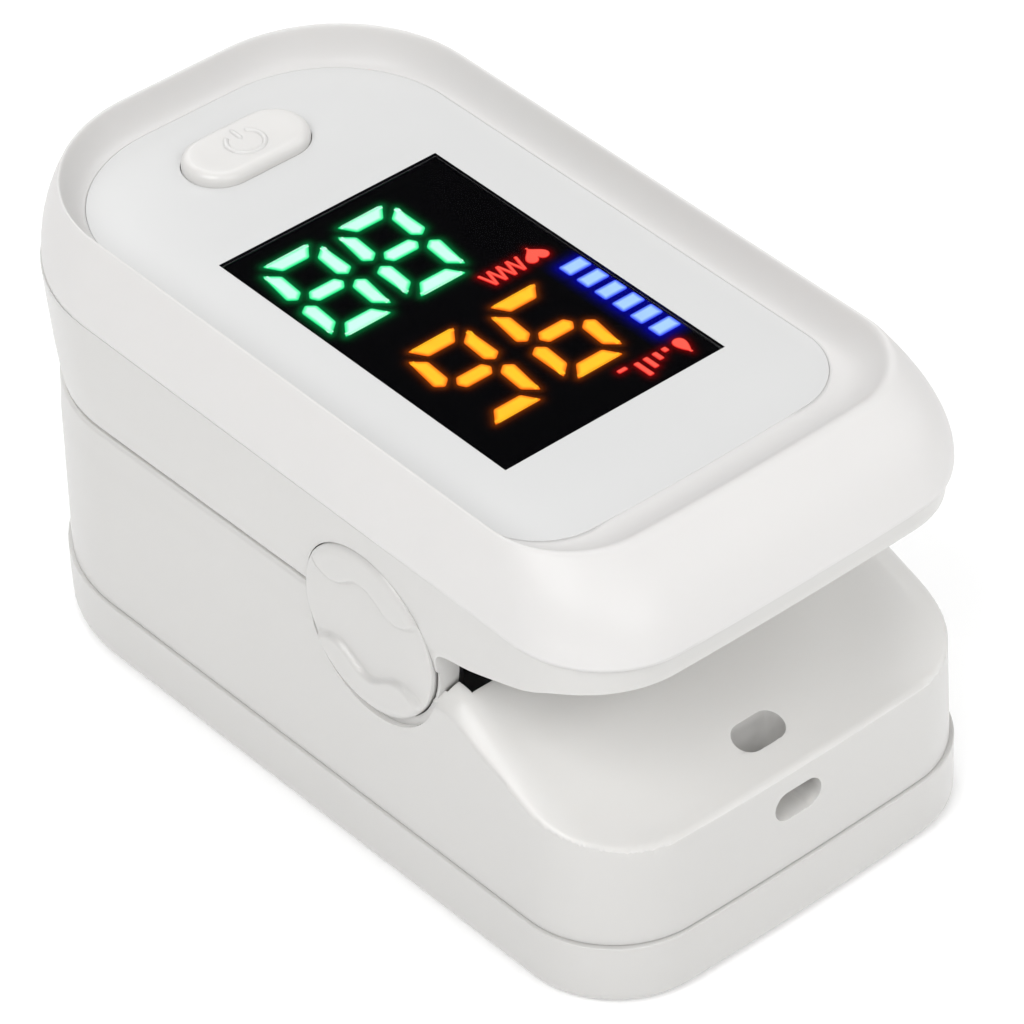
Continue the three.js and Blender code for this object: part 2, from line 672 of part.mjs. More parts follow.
class Coil extends THREE.Curve {
  constructor({ radius, endRadius = radius, rise, turns }) {
    super();
    Object.assign(this, { radius, endRadius, rise, turns });
  }

  getPoint(t, target = new THREE.Vector3()) {
    const angle = t * this.turns * 2 * Math.PI;
    const radius = THREE.MathUtils.lerp(this.radius, this.endRadius, t);
    return target.set(radius * Math.cos(angle), radius * Math.sin(angle), t * this.rise);
  }
}

// A flat conical spring that presses a cell's plain end.
function batterySpring(x, y, towards) {
  const coil = new Coil({ radius: 3.4, endRadius: 1.4, rise: 0.4, turns: 1.9 });
  return wire(coil, 0.22, 30).rotateX(-towards * Math.PI / 2).translate(x, y, CELL.z);
}

function contactPlate([x0, x1], [y0, y1]) {
  return solid(box([x0, x1], [y0, y1], [CELL.z - 3.9, CELL.z + 3.9]));
}

// -------------------------------------------------------------- hinge pieces

const pin = { radius: 1.15, inner: 7.2, outer: CAP_SEAT - 0.35 };
const springCoil = { radius: 2.1, wire: 0.32, rise: 2.6, turns: 3.25, x: 8.0 };

function hingePin(side) {
  const span = sideSpan(side, pin.inner, pin.outer);
  const shaft = solid(cylinderX(pin.radius, span, HINGE.y, HINGE.z));
  const headSpan = sideSpan(side, pin.inner - 0.7, pin.inner);
  return join(shaft, solid(cylinderX(pin.radius + 0.6, headSpan, HINGE.y, HINGE.z)));
}

// Coil around the pin with one leg towards the finger end.
function torsionSpring(side) {
  const coil = wire(new Coil(springCoil), springCoil.wire, 46);
  const turned = coil.rotateY(Math.PI / 2).translate(springCoil.x, HINGE.y, HINGE.z);
  const leg = cylinderY(springCoil.wire, springCoil.x, [HINGE.y - 3.6, HINGE.y + 0.1],
    HINGE.z - springCoil.radius, 8);
  const body = join(solid(turned), solid(leg));
  return side > 0 ? body : body.mirror([1, 0, 0]);
}

// ---------------------------------------------------------------- electronics

const board = { half: 9.0, far: -24.2, near: 21.4, bottom: 24.0, top: 24.8 };

function mainBoard() {
  const level = { half: board.half, far: board.far, near: board.near, farRadius: 6, nearRadius: 2 };
  return solid(slab(level, board.bottom, board.top));
}

// A thin bent ribbon drawn along a line in the (Y, Z) plane.
function ribbon(points, half) {
  const thick = 0.25;
  const line = points.map(([y, z]) => new THREE.Vector2(y, z));
  const backs = line.map((point, i) => {
    const before = line[Math.max(i - 1, 0)];
    const after = line[Math.min(i + 1, line.length - 1)];
    const along = after.clone().sub(before).normalize();
    return new THREE.Vector2(point.x - along.y * thick, point.y + along.x * thick);
  });
  return solid(alongX(new THREE.Shape([...line, ...backs.reverse()]), -half, half));
}

function screw({ x, y, shank, head, headTop, top }) {
  const body = join(
    solid(cylinderZ(shank, x, y, [headTop - 0.4, top])),
    solid(cylinderZ(head, x, y, [headTop - 1.3, headTop - GAP], 18)),
  );
  const slot = 0.35;
  return cut(body,
    solid(box([x - 1.1, x + 1.1], [y - slot / 2, y + slot / 2], [0, headTop - 0.9])),
    solid(box([x - slot / 2, x + slot / 2], [y - 1.1, y + 1.1], [0, headTop - 0.9])));
}

// ------------------------------------------------------------------ materials

function finish(color, roughness, metalness = 0) {
  return new THREE.MeshStandardMaterial({ color, roughness, metalness });
}

const looks = {
  housing: finish(0xe9e7e4, 0.32),
  panel: finish(0xe6e9ed, 0.12),
  glass: finish(0x08080a, 0.08),
  silicone: finish(0x1b1b1d, 0.75),
  frame: finish(0xd6d6d3, 0.5),
  steel: finish(0xb9bcc0, 0.3, 1),
  board: finish(0x1d5a34, 0.55),
  chip: finish(0x1a1a1c, 0.5),
  lens: finish(0xc9c4c2, 0.15),
  cellCan: finish(0x3a4a8c, 0.35, 0.4),
  flex: finish(0xb3742a, 0.45),
  leds: finish(0x4fe08a, 0.4),
};

// ------------------------------------------------------------------- assembly

const object = new THREE.Group();

function place(name, shape, look, parent = object) {
  const geometry = shape instanceof THREE.BufferGeometry ? shape : geometryOf(shape);
  const mesh = new THREE.Mesh(geometry, looks[look]);
  mesh.name = name;
  parent.add(mesh);
  return mesh;
}

// The cover group carries every piece that is drawn level and lies at the
// cover's slope.
const coverGroup = new THREE.Group();
const coverTurn = new THREE.Group();
coverTurn.position.set(0, HINGE.y, HINGE.z);
coverTurn.rotation.x = -COVER_SLOPE;
coverGroup.position.set(0, -HINGE.y, -HINGE.z);
coverTurn.add(coverGroup);
object.add(coverTurn);

// lower jaw
place('lower_shell', lowerShell(), 'housing');
place('lower_frame', lowerFrame(), 'frame');
place('lower_finger_pad', lowerPad(), 'silicone');
place('sensor_board', solid(box([-1.9, 1.9], [SENSOR_Y - 6, SENSOR_Y + 6], [10.6, 11.1])), 'board');
place('photodiode', solid(box([-1.4, 1.4], [SENSOR_Y - 1.4, SENSOR_Y + 1.4], [11.4, 12.0])), 'chip');
place('sensor_lens', cylinderZ(2.0, 0, SENSOR_Y, [12.45, 13.15]), 'lens');
for (const [name, side] of [['battery_left', -1], ['battery_right', 1]]) {
  place(name, cell(side), 'cellCan');
}
place('contact_bridge', contactPlate([-7.4, 7.4], [-26.1, -25.85]), 'steel');
place('contact_positive', contactPlate([1.6, 9.2], [20.35, 20.65]), 'steel');
place('contact_negative', contactPlate([-9.2, -1.6], [20.35, 20.65]), 'steel');
place('battery_spring_right', batterySpring(CELL_X, -25.4, 1), 'steel');
place('battery_spring_left', batterySpring(-CELL_X, 19.75, -1), 'steel');
for (const [name, side] of [['left', -1], ['right', 1]]) {
  place(`hinge_pin_${name}`, hingePin(side), 'steel');
  place(`torsion_spring_${name}`, torsionSpring(side), 'steel');
}
place('lower_flex', ribbon([[14.6, 12.8], [14.9, 14.0], [11.6, 14.8], [9.4, 16.6]], 2.5), 'flex');

// battery cover
place('battery_cover', batteryCover(), 'housing');

// upper jaw
place('upper_shell', upperShell(), 'housing');
place('upper_finger_pad', upperPad(), 'silicone');
place('emitter_lens', cylinderZ(2.0, 0, SENSOR_Y, [21.0, 21.55]), 'lens');
place('emitter_led', solid(box([-1.4, 1.4], [SENSOR_Y - 1.4, SENSOR_Y + 1.4], [21.85, 22.8])), 'chip');
place('emitter_board', solid(box([-3.5, 3.5], [SENSOR_Y - 5, SENSOR_Y + 5], [23.25, 23.65])), 'board');
for (const [name, side] of [['left', -1], ['right', 1]]) {
  place(`hinge_cap_${name}`, hingeCap(side), 'housing');
  place(`cover_screw_${name}`, screw({ ...coverScrew, x: side * coverScrew.x }), 'steel');
}
place('upper_flex', ribbon([[9.6, 18.3], [10.6, 20.4], [13.4, 22.2], [14.2, 23.3]], 2.5), 'flex');
place('top_cover', topCover(), 'housing', coverGroup);
place('face_panel', facePanel(), 'panel', coverGroup);
place('display_window', displayWindow(), 'glass', coverGroup);
place('led_display', ledDisplay(), 'leds', coverGroup);
place('main_board', mainBoard(), 'board', coverGroup);
place('mcu_chip', solid(box([-3.5, 3.5], [14.6, 20.2], [25.1, 25.9])), 'chip', coverGroup);
place('tact_switch', solid(box([-2.2, 2.2], [BUTTON.y - 2.2, BUTTON.y + 2.2], [25.1, 25.45])),
  'chip', coverGroup);

// power button
place('power_button', powerButton(), 'housing', coverGroup);

export default object;
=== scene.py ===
"""Looks of the fingertip pulse oximeter: smooth housings, lit display, soft pads.

Shapes are written in millimetres with +Z up and the origin at the middle of
the flat base; -Y is the finger end and +Y the squeezed end.
"""
import math

import bmesh
import bpy
from mathutils import Matrix, Vector


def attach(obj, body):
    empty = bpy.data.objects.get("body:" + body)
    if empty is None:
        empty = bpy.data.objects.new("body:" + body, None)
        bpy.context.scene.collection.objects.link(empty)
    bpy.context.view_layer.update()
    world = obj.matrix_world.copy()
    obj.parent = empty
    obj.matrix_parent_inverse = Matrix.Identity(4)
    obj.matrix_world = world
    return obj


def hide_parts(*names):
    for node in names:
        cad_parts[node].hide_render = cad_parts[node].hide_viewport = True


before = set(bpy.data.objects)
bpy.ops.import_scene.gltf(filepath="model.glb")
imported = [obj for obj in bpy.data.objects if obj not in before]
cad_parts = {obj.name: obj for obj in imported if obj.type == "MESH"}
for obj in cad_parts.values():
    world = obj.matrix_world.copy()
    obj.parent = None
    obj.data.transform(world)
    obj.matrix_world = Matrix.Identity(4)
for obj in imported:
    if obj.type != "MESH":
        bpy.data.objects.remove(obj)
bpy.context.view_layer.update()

MM = 0.001

# ---------------------------------------------------------------- dimensions

LENGTH = 58.4
WIDTH = 31.3
FAR = -LENGTH / 2
NEAR = LENGTH / 2
BOW = 0.35                     # bulge of the squeezed end
FAR_RADIUS = 12
NEAR_RADIUS = 6.4
WALL = 1.3
HINGE_Y = 8.65
HINGE_Z = 17.7
COVER_SLOPE = math.radians(1.6)

BASE_TOP = 4.15
BASE_EDGE = 0.9
LOWER_BOTTOM = BASE_TOP + 0.3
LOWER_CREST = 15.05
LOWER_RIM = 17.55
UPPER_RIM = LOWER_RIM + 0.3
UPPER_CREASE = 20.0
PARTING = 25.2
PANEL_TOP = 28.4
COVER_CREST = 30.8

DISC_RADIUS = 5.6
LOBE_RADIUS = 5.85
TONGUE_INNER = 13.35
CAP_SEAT = 14.2
CAP_BACK = 14.5
CAP_BAND = 15.3
CAP_FACE = 15.65
CAP_ROUND = 0.75
CRESCENT_BLEND = 0.3

WINDOW = {"half": 8.35, "far": -12.75, "near": 13.05}
BUTTON = {"y": -20.6, "run": 2.05, "radius": 2.35, "top": PANEL_TOP + 0.8}
MODULE_TOP = PANEL_TOP - 0.3
LIT_TOP = MODULE_TOP + 0.04

CEILING = 40                   # above everything, for the cutting bodies
ACROSS = (-20, 20)             # wider than everything


# -------------------------------------------------------------- mesh helpers

def make_object(name, mesh):
    """Puts a mesh into the scene."""
    obj = bpy.data.objects.new(name, mesh)
    bpy.context.scene.collection.objects.link(obj)
    return obj


def mesh_from(name, vertices, faces):
    """A mesh from millimetre vertices, its faces turned outwards."""
    mesh = bpy.data.meshes.new(name)
    mesh.from_pydata([[c * MM for c in v] for v in vertices], [], faces)
    work = bmesh.new()
    work.from_mesh(mesh)
    bmesh.ops.recalc_face_normals(work, faces=work.faces)
    work.to_mesh(mesh)
    work.free()
    return mesh


def spaced(start, stop, count):
    """Evenly spaced numbers, with both ends."""
    return [start + (stop - start) * i / (count - 1) for i in range(count)]


def mix(a, b, t):
    """The number t of the way from a to b."""
    return a + (b - a) * t


def plan(half, far, near, far_radius=FAR_RADIUS, near_radius=NEAR_RADIUS, bow=BOW,
         corner=20, side=9):
    """Rounded outline seen from above, always with the same point count."""
    corners = (
        (half - near_radius, near - near_radius, near_radius, 0),
        (-half + near_radius, near - near_radius, near_radius, 1),
        (-half + far_radius, far + far_radius, far_radius, 2),
        (half - far_radius, far + far_radius, far_radius, 3),
    )
    arcs = []
    for x, y, radius, quarter in corners:
        angles = spaced(quarter * math.pi / 2, (quarter + 1) * math.pi / 2, corner)
        arcs.append([(x + radius * math.cos(a), y + radius * math.sin(a)) for a in angles])
    points = []
    for arc, following in zip(arcs, arcs[1:] + arcs[:1]):
        points += arc
        (ax, ay), (bx, by) = arc[-1], following[0]
        points += [(mix(ax, bx, t), mix(ay, by, t)) for t in spaced(0, 1, side + 2)[1:-1]]
    return [(x, y - bow * (x / half) ** 2 if y > 0 else y) for x, y in points]


def inset(level, by):
    """The settings of an outline that lies further in."""
    return dict(
        level,
        half=level["half"] - by,
        far=level["far"] + by,
        near=level["near"] - by,
        far_radius=level.get("far_radius", FAR_RADIUS) - by,
        near_radius=max(level.get("near_radius", NEAR_RADIUS) - by, 1),
    )


def between(a, b, t):
    """The settings of an outline t of the way from a to b."""
    names = ("half", "far", "near", "far_radius", "near_radius")
    return {name: mix(a[name], b[name], t) for name in names}


def band(a, b, count):
    """Quads between two rings of vertices, numbered from a and from b."""
    return [(a + i, a + (i + 1) % count, b + (i + 1) % count, b + i) for i in range(count)]


def grid_faces(wide, long, first=0):
    """Quads of a grid whose vertices are numbered row by row."""
    starts = [first + r * wide + c for r in range(long - 1) for c in range(wide - 1)]
    return [(a, a + 1, a + wide + 1, a + wide) for a in starts]


def grid_sides(wide, long):
    """The vertex numbers along the grid's four sides, going round."""
    return [
        list(range(wide)),
        [r * wide + wide - 1 for r in range(long)],
        list(range(long * wide - 1, (long - 1) * wide - 1, -1)),
        [r * wide for r in range(long - 1, -1, -1)],
    ]


def rings_mesh(name, rings, closed=False):
    """Joins rings of equal point count; closed joins the last to the first."""
    count = len(rings[0])
    vertices = [point for ring in rings for point in ring]
    faces = []
    spans = len(rings) if closed else len(rings) - 1
    for r in range(spans):
        faces += band(r * count, (r + 1) % len(rings) * count, count)
    if not closed:
        faces.append(tuple(reversed(range(count))))
        faces.append(tuple(range((len(rings) - 1) * count, len(rings) * count)))
    return mesh_from(name, vertices, faces)


def loft(name, levels, closed=False):
    """A body from (outline settings, z) pairs."""
    return rings_mesh(name, [level_ring(plan(**level), z) for level, z in levels], closed)


def level_ring(outline, z):
    """A flat outline at one height."""
    return [(x, y, z) for x, y in outline]


def rounded_foot(level, radius, z, steps):
    """Levels that round a body's lower edge, up from z."""
    return [(inset(level, radius * (1 - math.sin(a))), z + radius * (1 - math.cos(a)))
            for a in spaced(0, math.pi / 2, steps)]


def rounded_top(level, radius, z, steps):
    """Levels that round a body's upper edge, up to z."""
    return [(inset(level, radius * (1 - math.cos(a))), z - radius * (1 - math.sin(a)))
            for a in spaced(0, math.pi / 2, steps)]


def prism(name, outline, axis, start, stop):
    """Extrudes a closed outline along X or Z."""
    if axis == "X":
        rings = [[(x, a, b) for a, b in outline] for x in (start, stop)]
    else:
        rings = [level_ring(outline, z) for z in (start, stop)]
    return rings_mesh(name, rings)


def box_mesh(name, xs, ys, zs):
    """A box from its range along each axis."""
    corners = [(xs[0], ys[0]), (xs[1], ys[0]), (xs[1], ys[1]), (xs[0], ys[1])]
    return prism(name, corners, "Z", *zs)


def circle(radius, cx, cy, count=72):
    """Points round a circle."""
    turn = 2 * math.pi / count
    return [(cx + radius * math.cos(i * turn), cy + radius * math.sin(i * turn)) for i in range(count)]


def obround(run, radius, cx, cy, count=20):
    """Two half circles side by side along X."""
    right = spaced(-math.pi / 2, math.pi / 2, count)
    points = [(cx + run + radius * math.cos(a), cy + radius * math.sin(a)) for a in right]
    return points + [(cx - run - radius * math.cos(a), cy - radius * math.sin(a)) for a in right]


def side_span(side, near, far):
    """A range of X on the +X or the -X side."""
    return (near, far) if side > 0 else (-far, -near)


def smooth_line(points, steps=12):
    """A Catmull-Rom line through the points."""
    padded = [points[0]] + list(points) + [points[-1]]
    line = []
    for p0, p1, p2, p3 in zip(padded, padded[1:], padded[2:], padded[3:]):
        for t in spaced(0, 1, steps + 1)[:-1]:
            line.append(tuple(
                0.5 * (2 * b + (c - a) * t + (2 * a - 5 * b + 4 * c - d) * t ** 2
                       + (3 * b - a - 3 * c + d) * t ** 3)
                for a, b, c, d in zip(p0, p1, p2, p3)))
    return line + [tuple(points[-1])]


def apply_modifiers(obj):
    """Replaces an object's mesh by its evaluated one."""
    bpy.context.view_layer.update()
    graph = bpy.context.evaluated_depsgraph_get()
    mesh = bpy.data.meshes.new_from_object(obj.evaluated_get(graph))
    obj.modifiers.clear()
    old = obj.data
    obj.data = mesh
    bpy.data.meshes.remove(old)


def carve(obj, operation, *meshes):
    """Cuts, joins or intersects other meshes into obj, one after another."""
    tools = []
    for mesh in meshes:
        tool = make_object("tool", mesh)
        modifier = obj.modifiers.new("carve", "BOOLEAN")
        modifier.operation = operation
        modifier.solver = "EXACT"
        modifier.object = tool
        tools.append(tool)
    apply_modifiers(obj)
    for tool in tools:
        bpy.data.objects.remove(tool)
    return obj


def carved_mesh(base, operation, *meshes):
    """The same for a tool of its own, given and returned as a mesh."""
    obj = carve(make_object("tool", base), operation, *meshes)
    mesh = obj.data
    bpy.data.objects.remove(obj)
    return mesh


def bevel_edges(obj, width, segments, angle):
    """Rounds the edges that turn by more than the angle."""
    bevel = obj.modifiers.new("edge", "BEVEL")
    bevel.width = width * MM
    bevel.segments = segments
    bevel.limit_method = "ANGLE"
    bevel.angle_limit = math.radians(angle)
    return bevel


def soften(obj, width, segments=3, angle=40, merge=0.001):
    """Rounds the sharp edges and shades the rest smoothly.

    Points closer than merge become one first.
    """
    work = bmesh.new()
    work.from_mesh(obj.data)
    bmesh.ops.remove_doubles(work, verts=work.verts, dist=merge * MM)
    bmesh.ops.dissolve_degenerate(work, edges=work.edges, dist=merge * MM)
    work.to_mesh(obj.data)
    work.free()
    obj.data.shade_smooth()
    if width:
        bevel_edges(obj, width, segments, angle).miter_outer = "MITER_ARC"
    weighted = obj.modifiers.new("normals", "WEIGHTED_NORMAL")
    weighted.keep_sharp = True
    weighted.weight = 80
    return obj


def slope(obj):
    """Turns a piece of the cover, drawn level, to the cover's slope."""
    hinge = Vector((0, HINGE_Y, HINGE_Z)) * MM
    turn = Matrix.Rotation(-COVER_SLOPE, 4, "X")
    obj.data.transform(Matrix.Translation(hinge) @ turn @ Matrix.Translation(-hinge))
    return obj


def fit_out(obj, body, material, stands_for=()):
    """Gives a piece its look, its body and the CAD nodes it stands for."""
    obj.data.materials.clear()
    obj.data.materials.append(material)
    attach(obj, body)
    if stands_for:
        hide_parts(*stands_for)
    return obj


# ----------------------------------------------------------------- materials

GRAIN_HEIGHT = 0.04 * MM
LIGHT_REACH = (1.2 * MM, 1.1 * MM, 1.0 * MM)    # how far light spreads inside plastic


def new_material(name):
    """A material with its node tree and its shader."""
    material = bpy.data.materials.new(name)
    material.use_nodes = True
    return material, *nodes_of(material)


def nodes_of(material):
    """A material's node tree and its shader."""
    tree = material.node_tree
    return tree, tree.nodes["Principled BSDF"]


def set_inputs(node, values):
    """Sets the same value all over, on the node's own sockets."""
    for name, value in values.items():
        node.inputs[name].default_value = value


def coordinate(tree, kind="Object"):
    """Where a point lies on the piece, or with Normal, where it faces."""
    return tree.nodes.new("ShaderNodeTexCoord").outputs[kind]


def noise_node(tree, scale, detail=4, stretch=(1, 1, 1)):
    """Noise that stays with the piece, scale features to the metre."""
    mapping = tree.nodes.new("ShaderNodeMapping")
    set_inputs(mapping, {"Scale": stretch})
    noise = tree.nodes.new("ShaderNodeTexNoise")
    set_inputs(noise, {"Scale": scale, "Detail": detail, "Roughness": 0.55})
    tree.links.new(coordinate(tree), mapping.inputs["Vector"])
    tree.links.new(mapping.outputs["Vector"], noise.inputs["Vector"])
    return noise


def ramp_node(tree, source, stops):
    """Turns a value from 0 to 1 into colours, by (position, colour) stops."""
    ramp = tree.nodes.new("ShaderNodeValToRGB")
    elements = ramp.color_ramp.elements
    while len(elements) < len(stops):
        elements.new(0.5)
    for element, (position, colour) in zip(elements, stops):
        element.position = position
        element.color = (*colour, 1)
    tree.links.new(source, ramp.inputs["Fac"])
    return ramp


def mix_node(tree, first, second):
    """A node that mixes two colours, with its factor and its result."""
    node = tree.nodes.new("ShaderNodeMix")
    node.data_type = "RGBA"
    tree.links.new(first, node.inputs[6])
    tree.links.new(second, node.inputs[7])
    return node, node.inputs[0], node.outputs[2]


def grey(value):
    """The same value in all three channels."""
    return (value, value, value)


def tinted(colour, factor):
    """A darker or lighter colour."""
    return tuple(min(c * factor, 1) for c in colour)


def moulded(name, colour, rough, spread=0.03, grain=2600, grain_depth=0.05, patches=60,
            rough_spread=0.04, metallic=0.0, coat=0.0, subsurface=0.0, stretch=(1, 1, 1)):
    """Moulded plastic or metal: slow tone changes, fine grain, uneven gloss."""
    material, tree, shader = new_material(name)
    broad = noise_node(tree, patches, detail=3)
    tones = [(0.3, tinted(colour, 1 - spread)), (0.7, tinted(colour, 1 + spread))]
    gloss = [(0.3, grey(max(rough - rough_spread, 0.02))), (0.7, grey(rough + rough_spread))]
    for socket, stops in (("Base Color", tones), ("Roughness", gloss)):
        ramp = ramp_node(tree, broad.outputs["Fac"], stops)
        tree.links.new(ramp.outputs["Color"], shader.inputs[socket])
    fine = noise_node(tree, grain, detail=2, stretch=stretch)
    bump = tree.nodes.new("ShaderNodeBump")
    set_inputs(bump, {"Strength": grain_depth, "Distance": GRAIN_HEIGHT})
    tree.links.new(fine.outputs["Fac"], bump.inputs["Height"])
    tree.links.new(bump.outputs["Normal"], shader.inputs["Normal"])
    set_inputs(shader, {
        "Metallic": metallic, "Coat Weight": coat, "Coat Roughness": 0.08,
        "Subsurface Weight": subsurface, "Subsurface Radius": LIGHT_REACH, "Subsurface Scale": 1.0})
    return material


def upright_node(tree):
    """How squarely a surface faces up or down, from 0 for a wall to 1."""
    split = tree.nodes.new("ShaderNodeSeparateXYZ")
    upright = tree.nodes.new("ShaderNodeMath")
    upright.operation = "ABSOLUTE"
    tree.links.new(coordinate(tree, "Normal"), split.inputs["Vector"])
    tree.links.new(split.outputs["Z"], upright.inputs[0])
    return upright.outputs["Value"]


def housing_plastic(name):
    """The warm white plastic of both housings, the tray and the caps."""
    return moulded(name, HOUSING_COLOUR, 0.33, spread=0.012, subsurface=0.12, coat=0.12)


def slope_painted_light(pale):
    """The lower housing's plastic with painted light: faces that point up, the slope among them, are
    drawn paler, as if lit.
    """
    material = housing_plastic("housing_plastic_painted_light")
    tree, shader = nodes_of(material)
    plain = shader.inputs["Base Color"].links[0].from_socket
    broad = noise_node(tree, 60, detail=3)
    painted_light_tone = ramp_node(tree, broad.outputs["Fac"], [
        (0.3, tinted(HOUSING_COLOUR, pale - 0.01)), (0.7, tinted(HOUSING_COLOUR, pale + 0.01))])
    # Painted light: the paler tone goes on faces that point up.
    where = ramp_node(tree, upright_node(tree), [(0.5, grey(0.0)), (0.85, grey(1.0))])
    _, factor, result = mix_node(tree, plain, painted_light_tone.outputs["Color"])
    tree.links.new(where.outputs["Color"], factor)
    tree.links.new(result, shader.inputs["Base Color"])
    return material


def smoked_window():
    """A dark, glossy film, clear seen from above and black at its sides."""
    material = moulded("window_film", (0.004, 0.004, 0.006), 0.06, patches=90, grain_depth=0.0,
                       rough_spread=0.015)
    tree, shader = nodes_of(material)
    set_inputs(shader, {"Specular IOR Level": 0.12})
    alpha = ramp_node(tree, upright_node(tree), [(0.5, grey(1.0)), (0.8, grey(0.1))])
    tree.links.new(alpha.outputs["Color"], shader.inputs["Alpha"])
    return material


def lit_material(name, rim, middle, core, strength=1.3):
    """A lit bar, brightest along its middle: the core attribute runs 0 to 1."""
    material, tree, shader = new_material(name)
    attribute = tree.nodes.new("ShaderNodeAttribute")
    attribute.attribute_name = "core"
    ramp = ramp_node(tree, attribute.outputs["Fac"], [(0.0, rim), (0.5, middle), (1.0, core)])
    grain = noise_node(tree, 900, detail=2)
    tone = ramp_node(tree, grain.outputs["Fac"], [(0.25, grey(0.9)), (0.75, grey(1.0))])
    multiply, factor, result = mix_node(tree, ramp.outputs["Color"], tone.outputs["Color"])
    multiply.blend_type = "MULTIPLY"
    factor.default_value = 1.0
    tree.links.new(result, shader.inputs["Emission Color"])
    set_inputs(shader, {
        "Base Color": (0, 0, 0, 1), "Emission Strength": strength, "Roughness": 0.6,
        "Specular IOR Level": 0.1})
    return material


def display_black():
    """The module's black face, with the soft glow that the figures spill."""
    material, tree, shader = new_material("display_face")
    glow = tree.nodes.new("ShaderNodeAttribute")
    glow.attribute_name = "glow"
    grain = noise_node(tree, 1500, detail=2)
    tone = ramp_node(tree, grain.outputs["Fac"], [(0.2, grey(0.0006)), (0.8, grey(0.0016))])
    tree.links.new(tone.outputs["Color"], shader.inputs["Base Color"])
    tree.links.new(glow.outputs["Color"], shader.inputs["Emission Color"])
    set_inputs(shader, {"Emission Strength": 1.0, "Roughness": 0.7, "Specular IOR Level": 0.0})
    return material


CELL_ENDS = (-25.6, 19.9)      # where a cell begins and ends along Y


def cell_wrap():
    """Shrink wrap of a cell: bare metal ends, a dark sleeve and a gold band."""
    material = moulded("cell_wrap", (0.05, 0.07, 0.2), 0.3, metallic=0.4)
    tree, shader = nodes_of(material)
    metal, sleeve, gold = (0.55, 0.55, 0.56), (0.03, 0.05, 0.16), (0.6, 0.42, 0.14)
    split = tree.nodes.new("ShaderNodeSeparateXYZ")
    spread = tree.nodes.new("ShaderNodeMapRange")
    set_inputs(spread, {"From Min": CELL_ENDS[0] * MM, "From Max": CELL_ENDS[1] * MM})
    bands = ramp_node(tree, spread.outputs["Result"], [
        (0.0, metal), (0.03, sleeve), (0.72, sleeve), (0.74, gold), (0.97, gold), (0.98, metal)])
    bands.color_ramp.interpolation = "CONSTANT"
    tree.links.new(coordinate(tree), split.inputs["Vector"])
    tree.links.new(split.outputs["Y"], spread.inputs["Value"])
    tree.links.new(bands.outputs["Color"], shader.inputs["Base Color"])
    return material


def circuit_board():
    """Green solder mask with a faint pattern of tracks."""
    material = moulded("solder_mask", (0.02, 0.13, 0.05), 0.35, coat=0.3)
    tree, shader = nodes_of(material)
    tracks = tree.nodes.new("ShaderNodeTexBrick")
    set_inputs(tracks, {
        "Scale": 420, "Mortar Size": 0.03, "Mortar": (0.05, 0.24, 0.09, 1),
        "Color1": (0.018, 0.13, 0.05, 1), "Color2": (0.022, 0.15, 0.06, 1)})
    tree.links.new(coordinate(tree), tracks.inputs["Vector"])
    tree.links.new(tracks.outputs["Color"], shader.inputs["Base Color"])
    return material


def flex_film():
    """Amber ribbon with copper lines along it."""
    material = moulded("flex_film", (0.45, 0.2, 0.05), 0.3)
    tree, shader = nodes_of(material)
    lines = tree.nodes.new("ShaderNodeTexWave")
    lines.bands_direction = "X"
    set_inputs(lines, {"Scale": 350})
    film, copper = (0.4, 0.16, 0.03), (0.62, 0.3, 0.1)
    colours = ramp_node(tree, lines.outputs["Fac"], [(0.4, film), (0.6, copper)])
    tree.links.new(coordinate(tree), lines.inputs["Vector"])
    tree.links.new(colours.outputs["Color"], shader.inputs["Base Color"])
    return material


def clear_lens():
    """Half clear resin over the light source and the sensor."""
    material = moulded("lens", (0.62, 0.56, 0.55), 0.12, patches=150, grain_depth=0.01)
    _, shader = nodes_of(material)
    set_inputs(shader, {"Transmission Weight": 0.5})
    return material


HOUSING_COLOUR = (0.578, 0.571, 0.557)
HOUSING = housing_plastic("housing_plastic")
# The lower housing carries painted light: its upward faces, the slope among them, are drawn paler.
LOWER_HOUSING = slope_painted_light(1.2)
COVER = moulded("cover_plastic", (0.648, 0.638, 0.629), 0.45, spread=0.01, subsurface=0.12,
                coat=0.03)
PANEL = moulded("panel_film", (0.622, 0.624, 0.622), 0.2, spread=0.008, grain_depth=0.02,
                coat=0.15)
BUTTON_PLASTIC = moulded("button_plastic", (0.66, 0.65, 0.636), 0.34, spread=0.01,
                         subsurface=0.1, coat=0.2)
SILICONE = moulded("silicone", (0.012, 0.012, 0.013), 0.55, spread=0.25, grain=1400,
                   grain_depth=0.25)
FRAME_PLASTIC = moulded("frame_plastic", (0.10, 0.10, 0.105), 0.5, grain_depth=0.15)
STEEL = moulded("steel", (0.62, 0.63, 0.65), 0.28, metallic=1.0, grain=1800, grain_depth=0.1,
                stretch=(1, 0.08, 1))
CHIP = moulded("chip_epoxy", (0.02, 0.02, 0.022), 0.45, spread=0.2, grain=3500, grain_depth=0.3)
BOARD = circuit_board()
LENS = clear_lens()
CELL_WRAP = cell_wrap()
FLEX = flex_film()
WINDOW_FILM = smoked_window()
DISPLAY_FACE = display_black()
GREEN_LIT = lit_material("lit_green", (0.0, 0.66, 0.18), (0.12, 1.0, 0.42), (0.55, 1.0, 0.78), 1.5)
AMBER_LIT = lit_material("lit_amber", (0.85, 0.12, 0.0), (1.0, 0.30, 0.01), (1.0, 0.52, 0.02), 1.5)
BLUE_LIT = lit_material("lit_blue", (0.03, 0.06, 0.9), (0.14, 0.26, 1.0), (0.36, 0.58, 1.0), 1.5)
RED_LIT = lit_material("lit_red", (0.75, 0.01, 0.01), (1.0, 0.06, 0.04), (1.0, 0.12, 0.08))


# ------------------------------------------------------------- battery cover

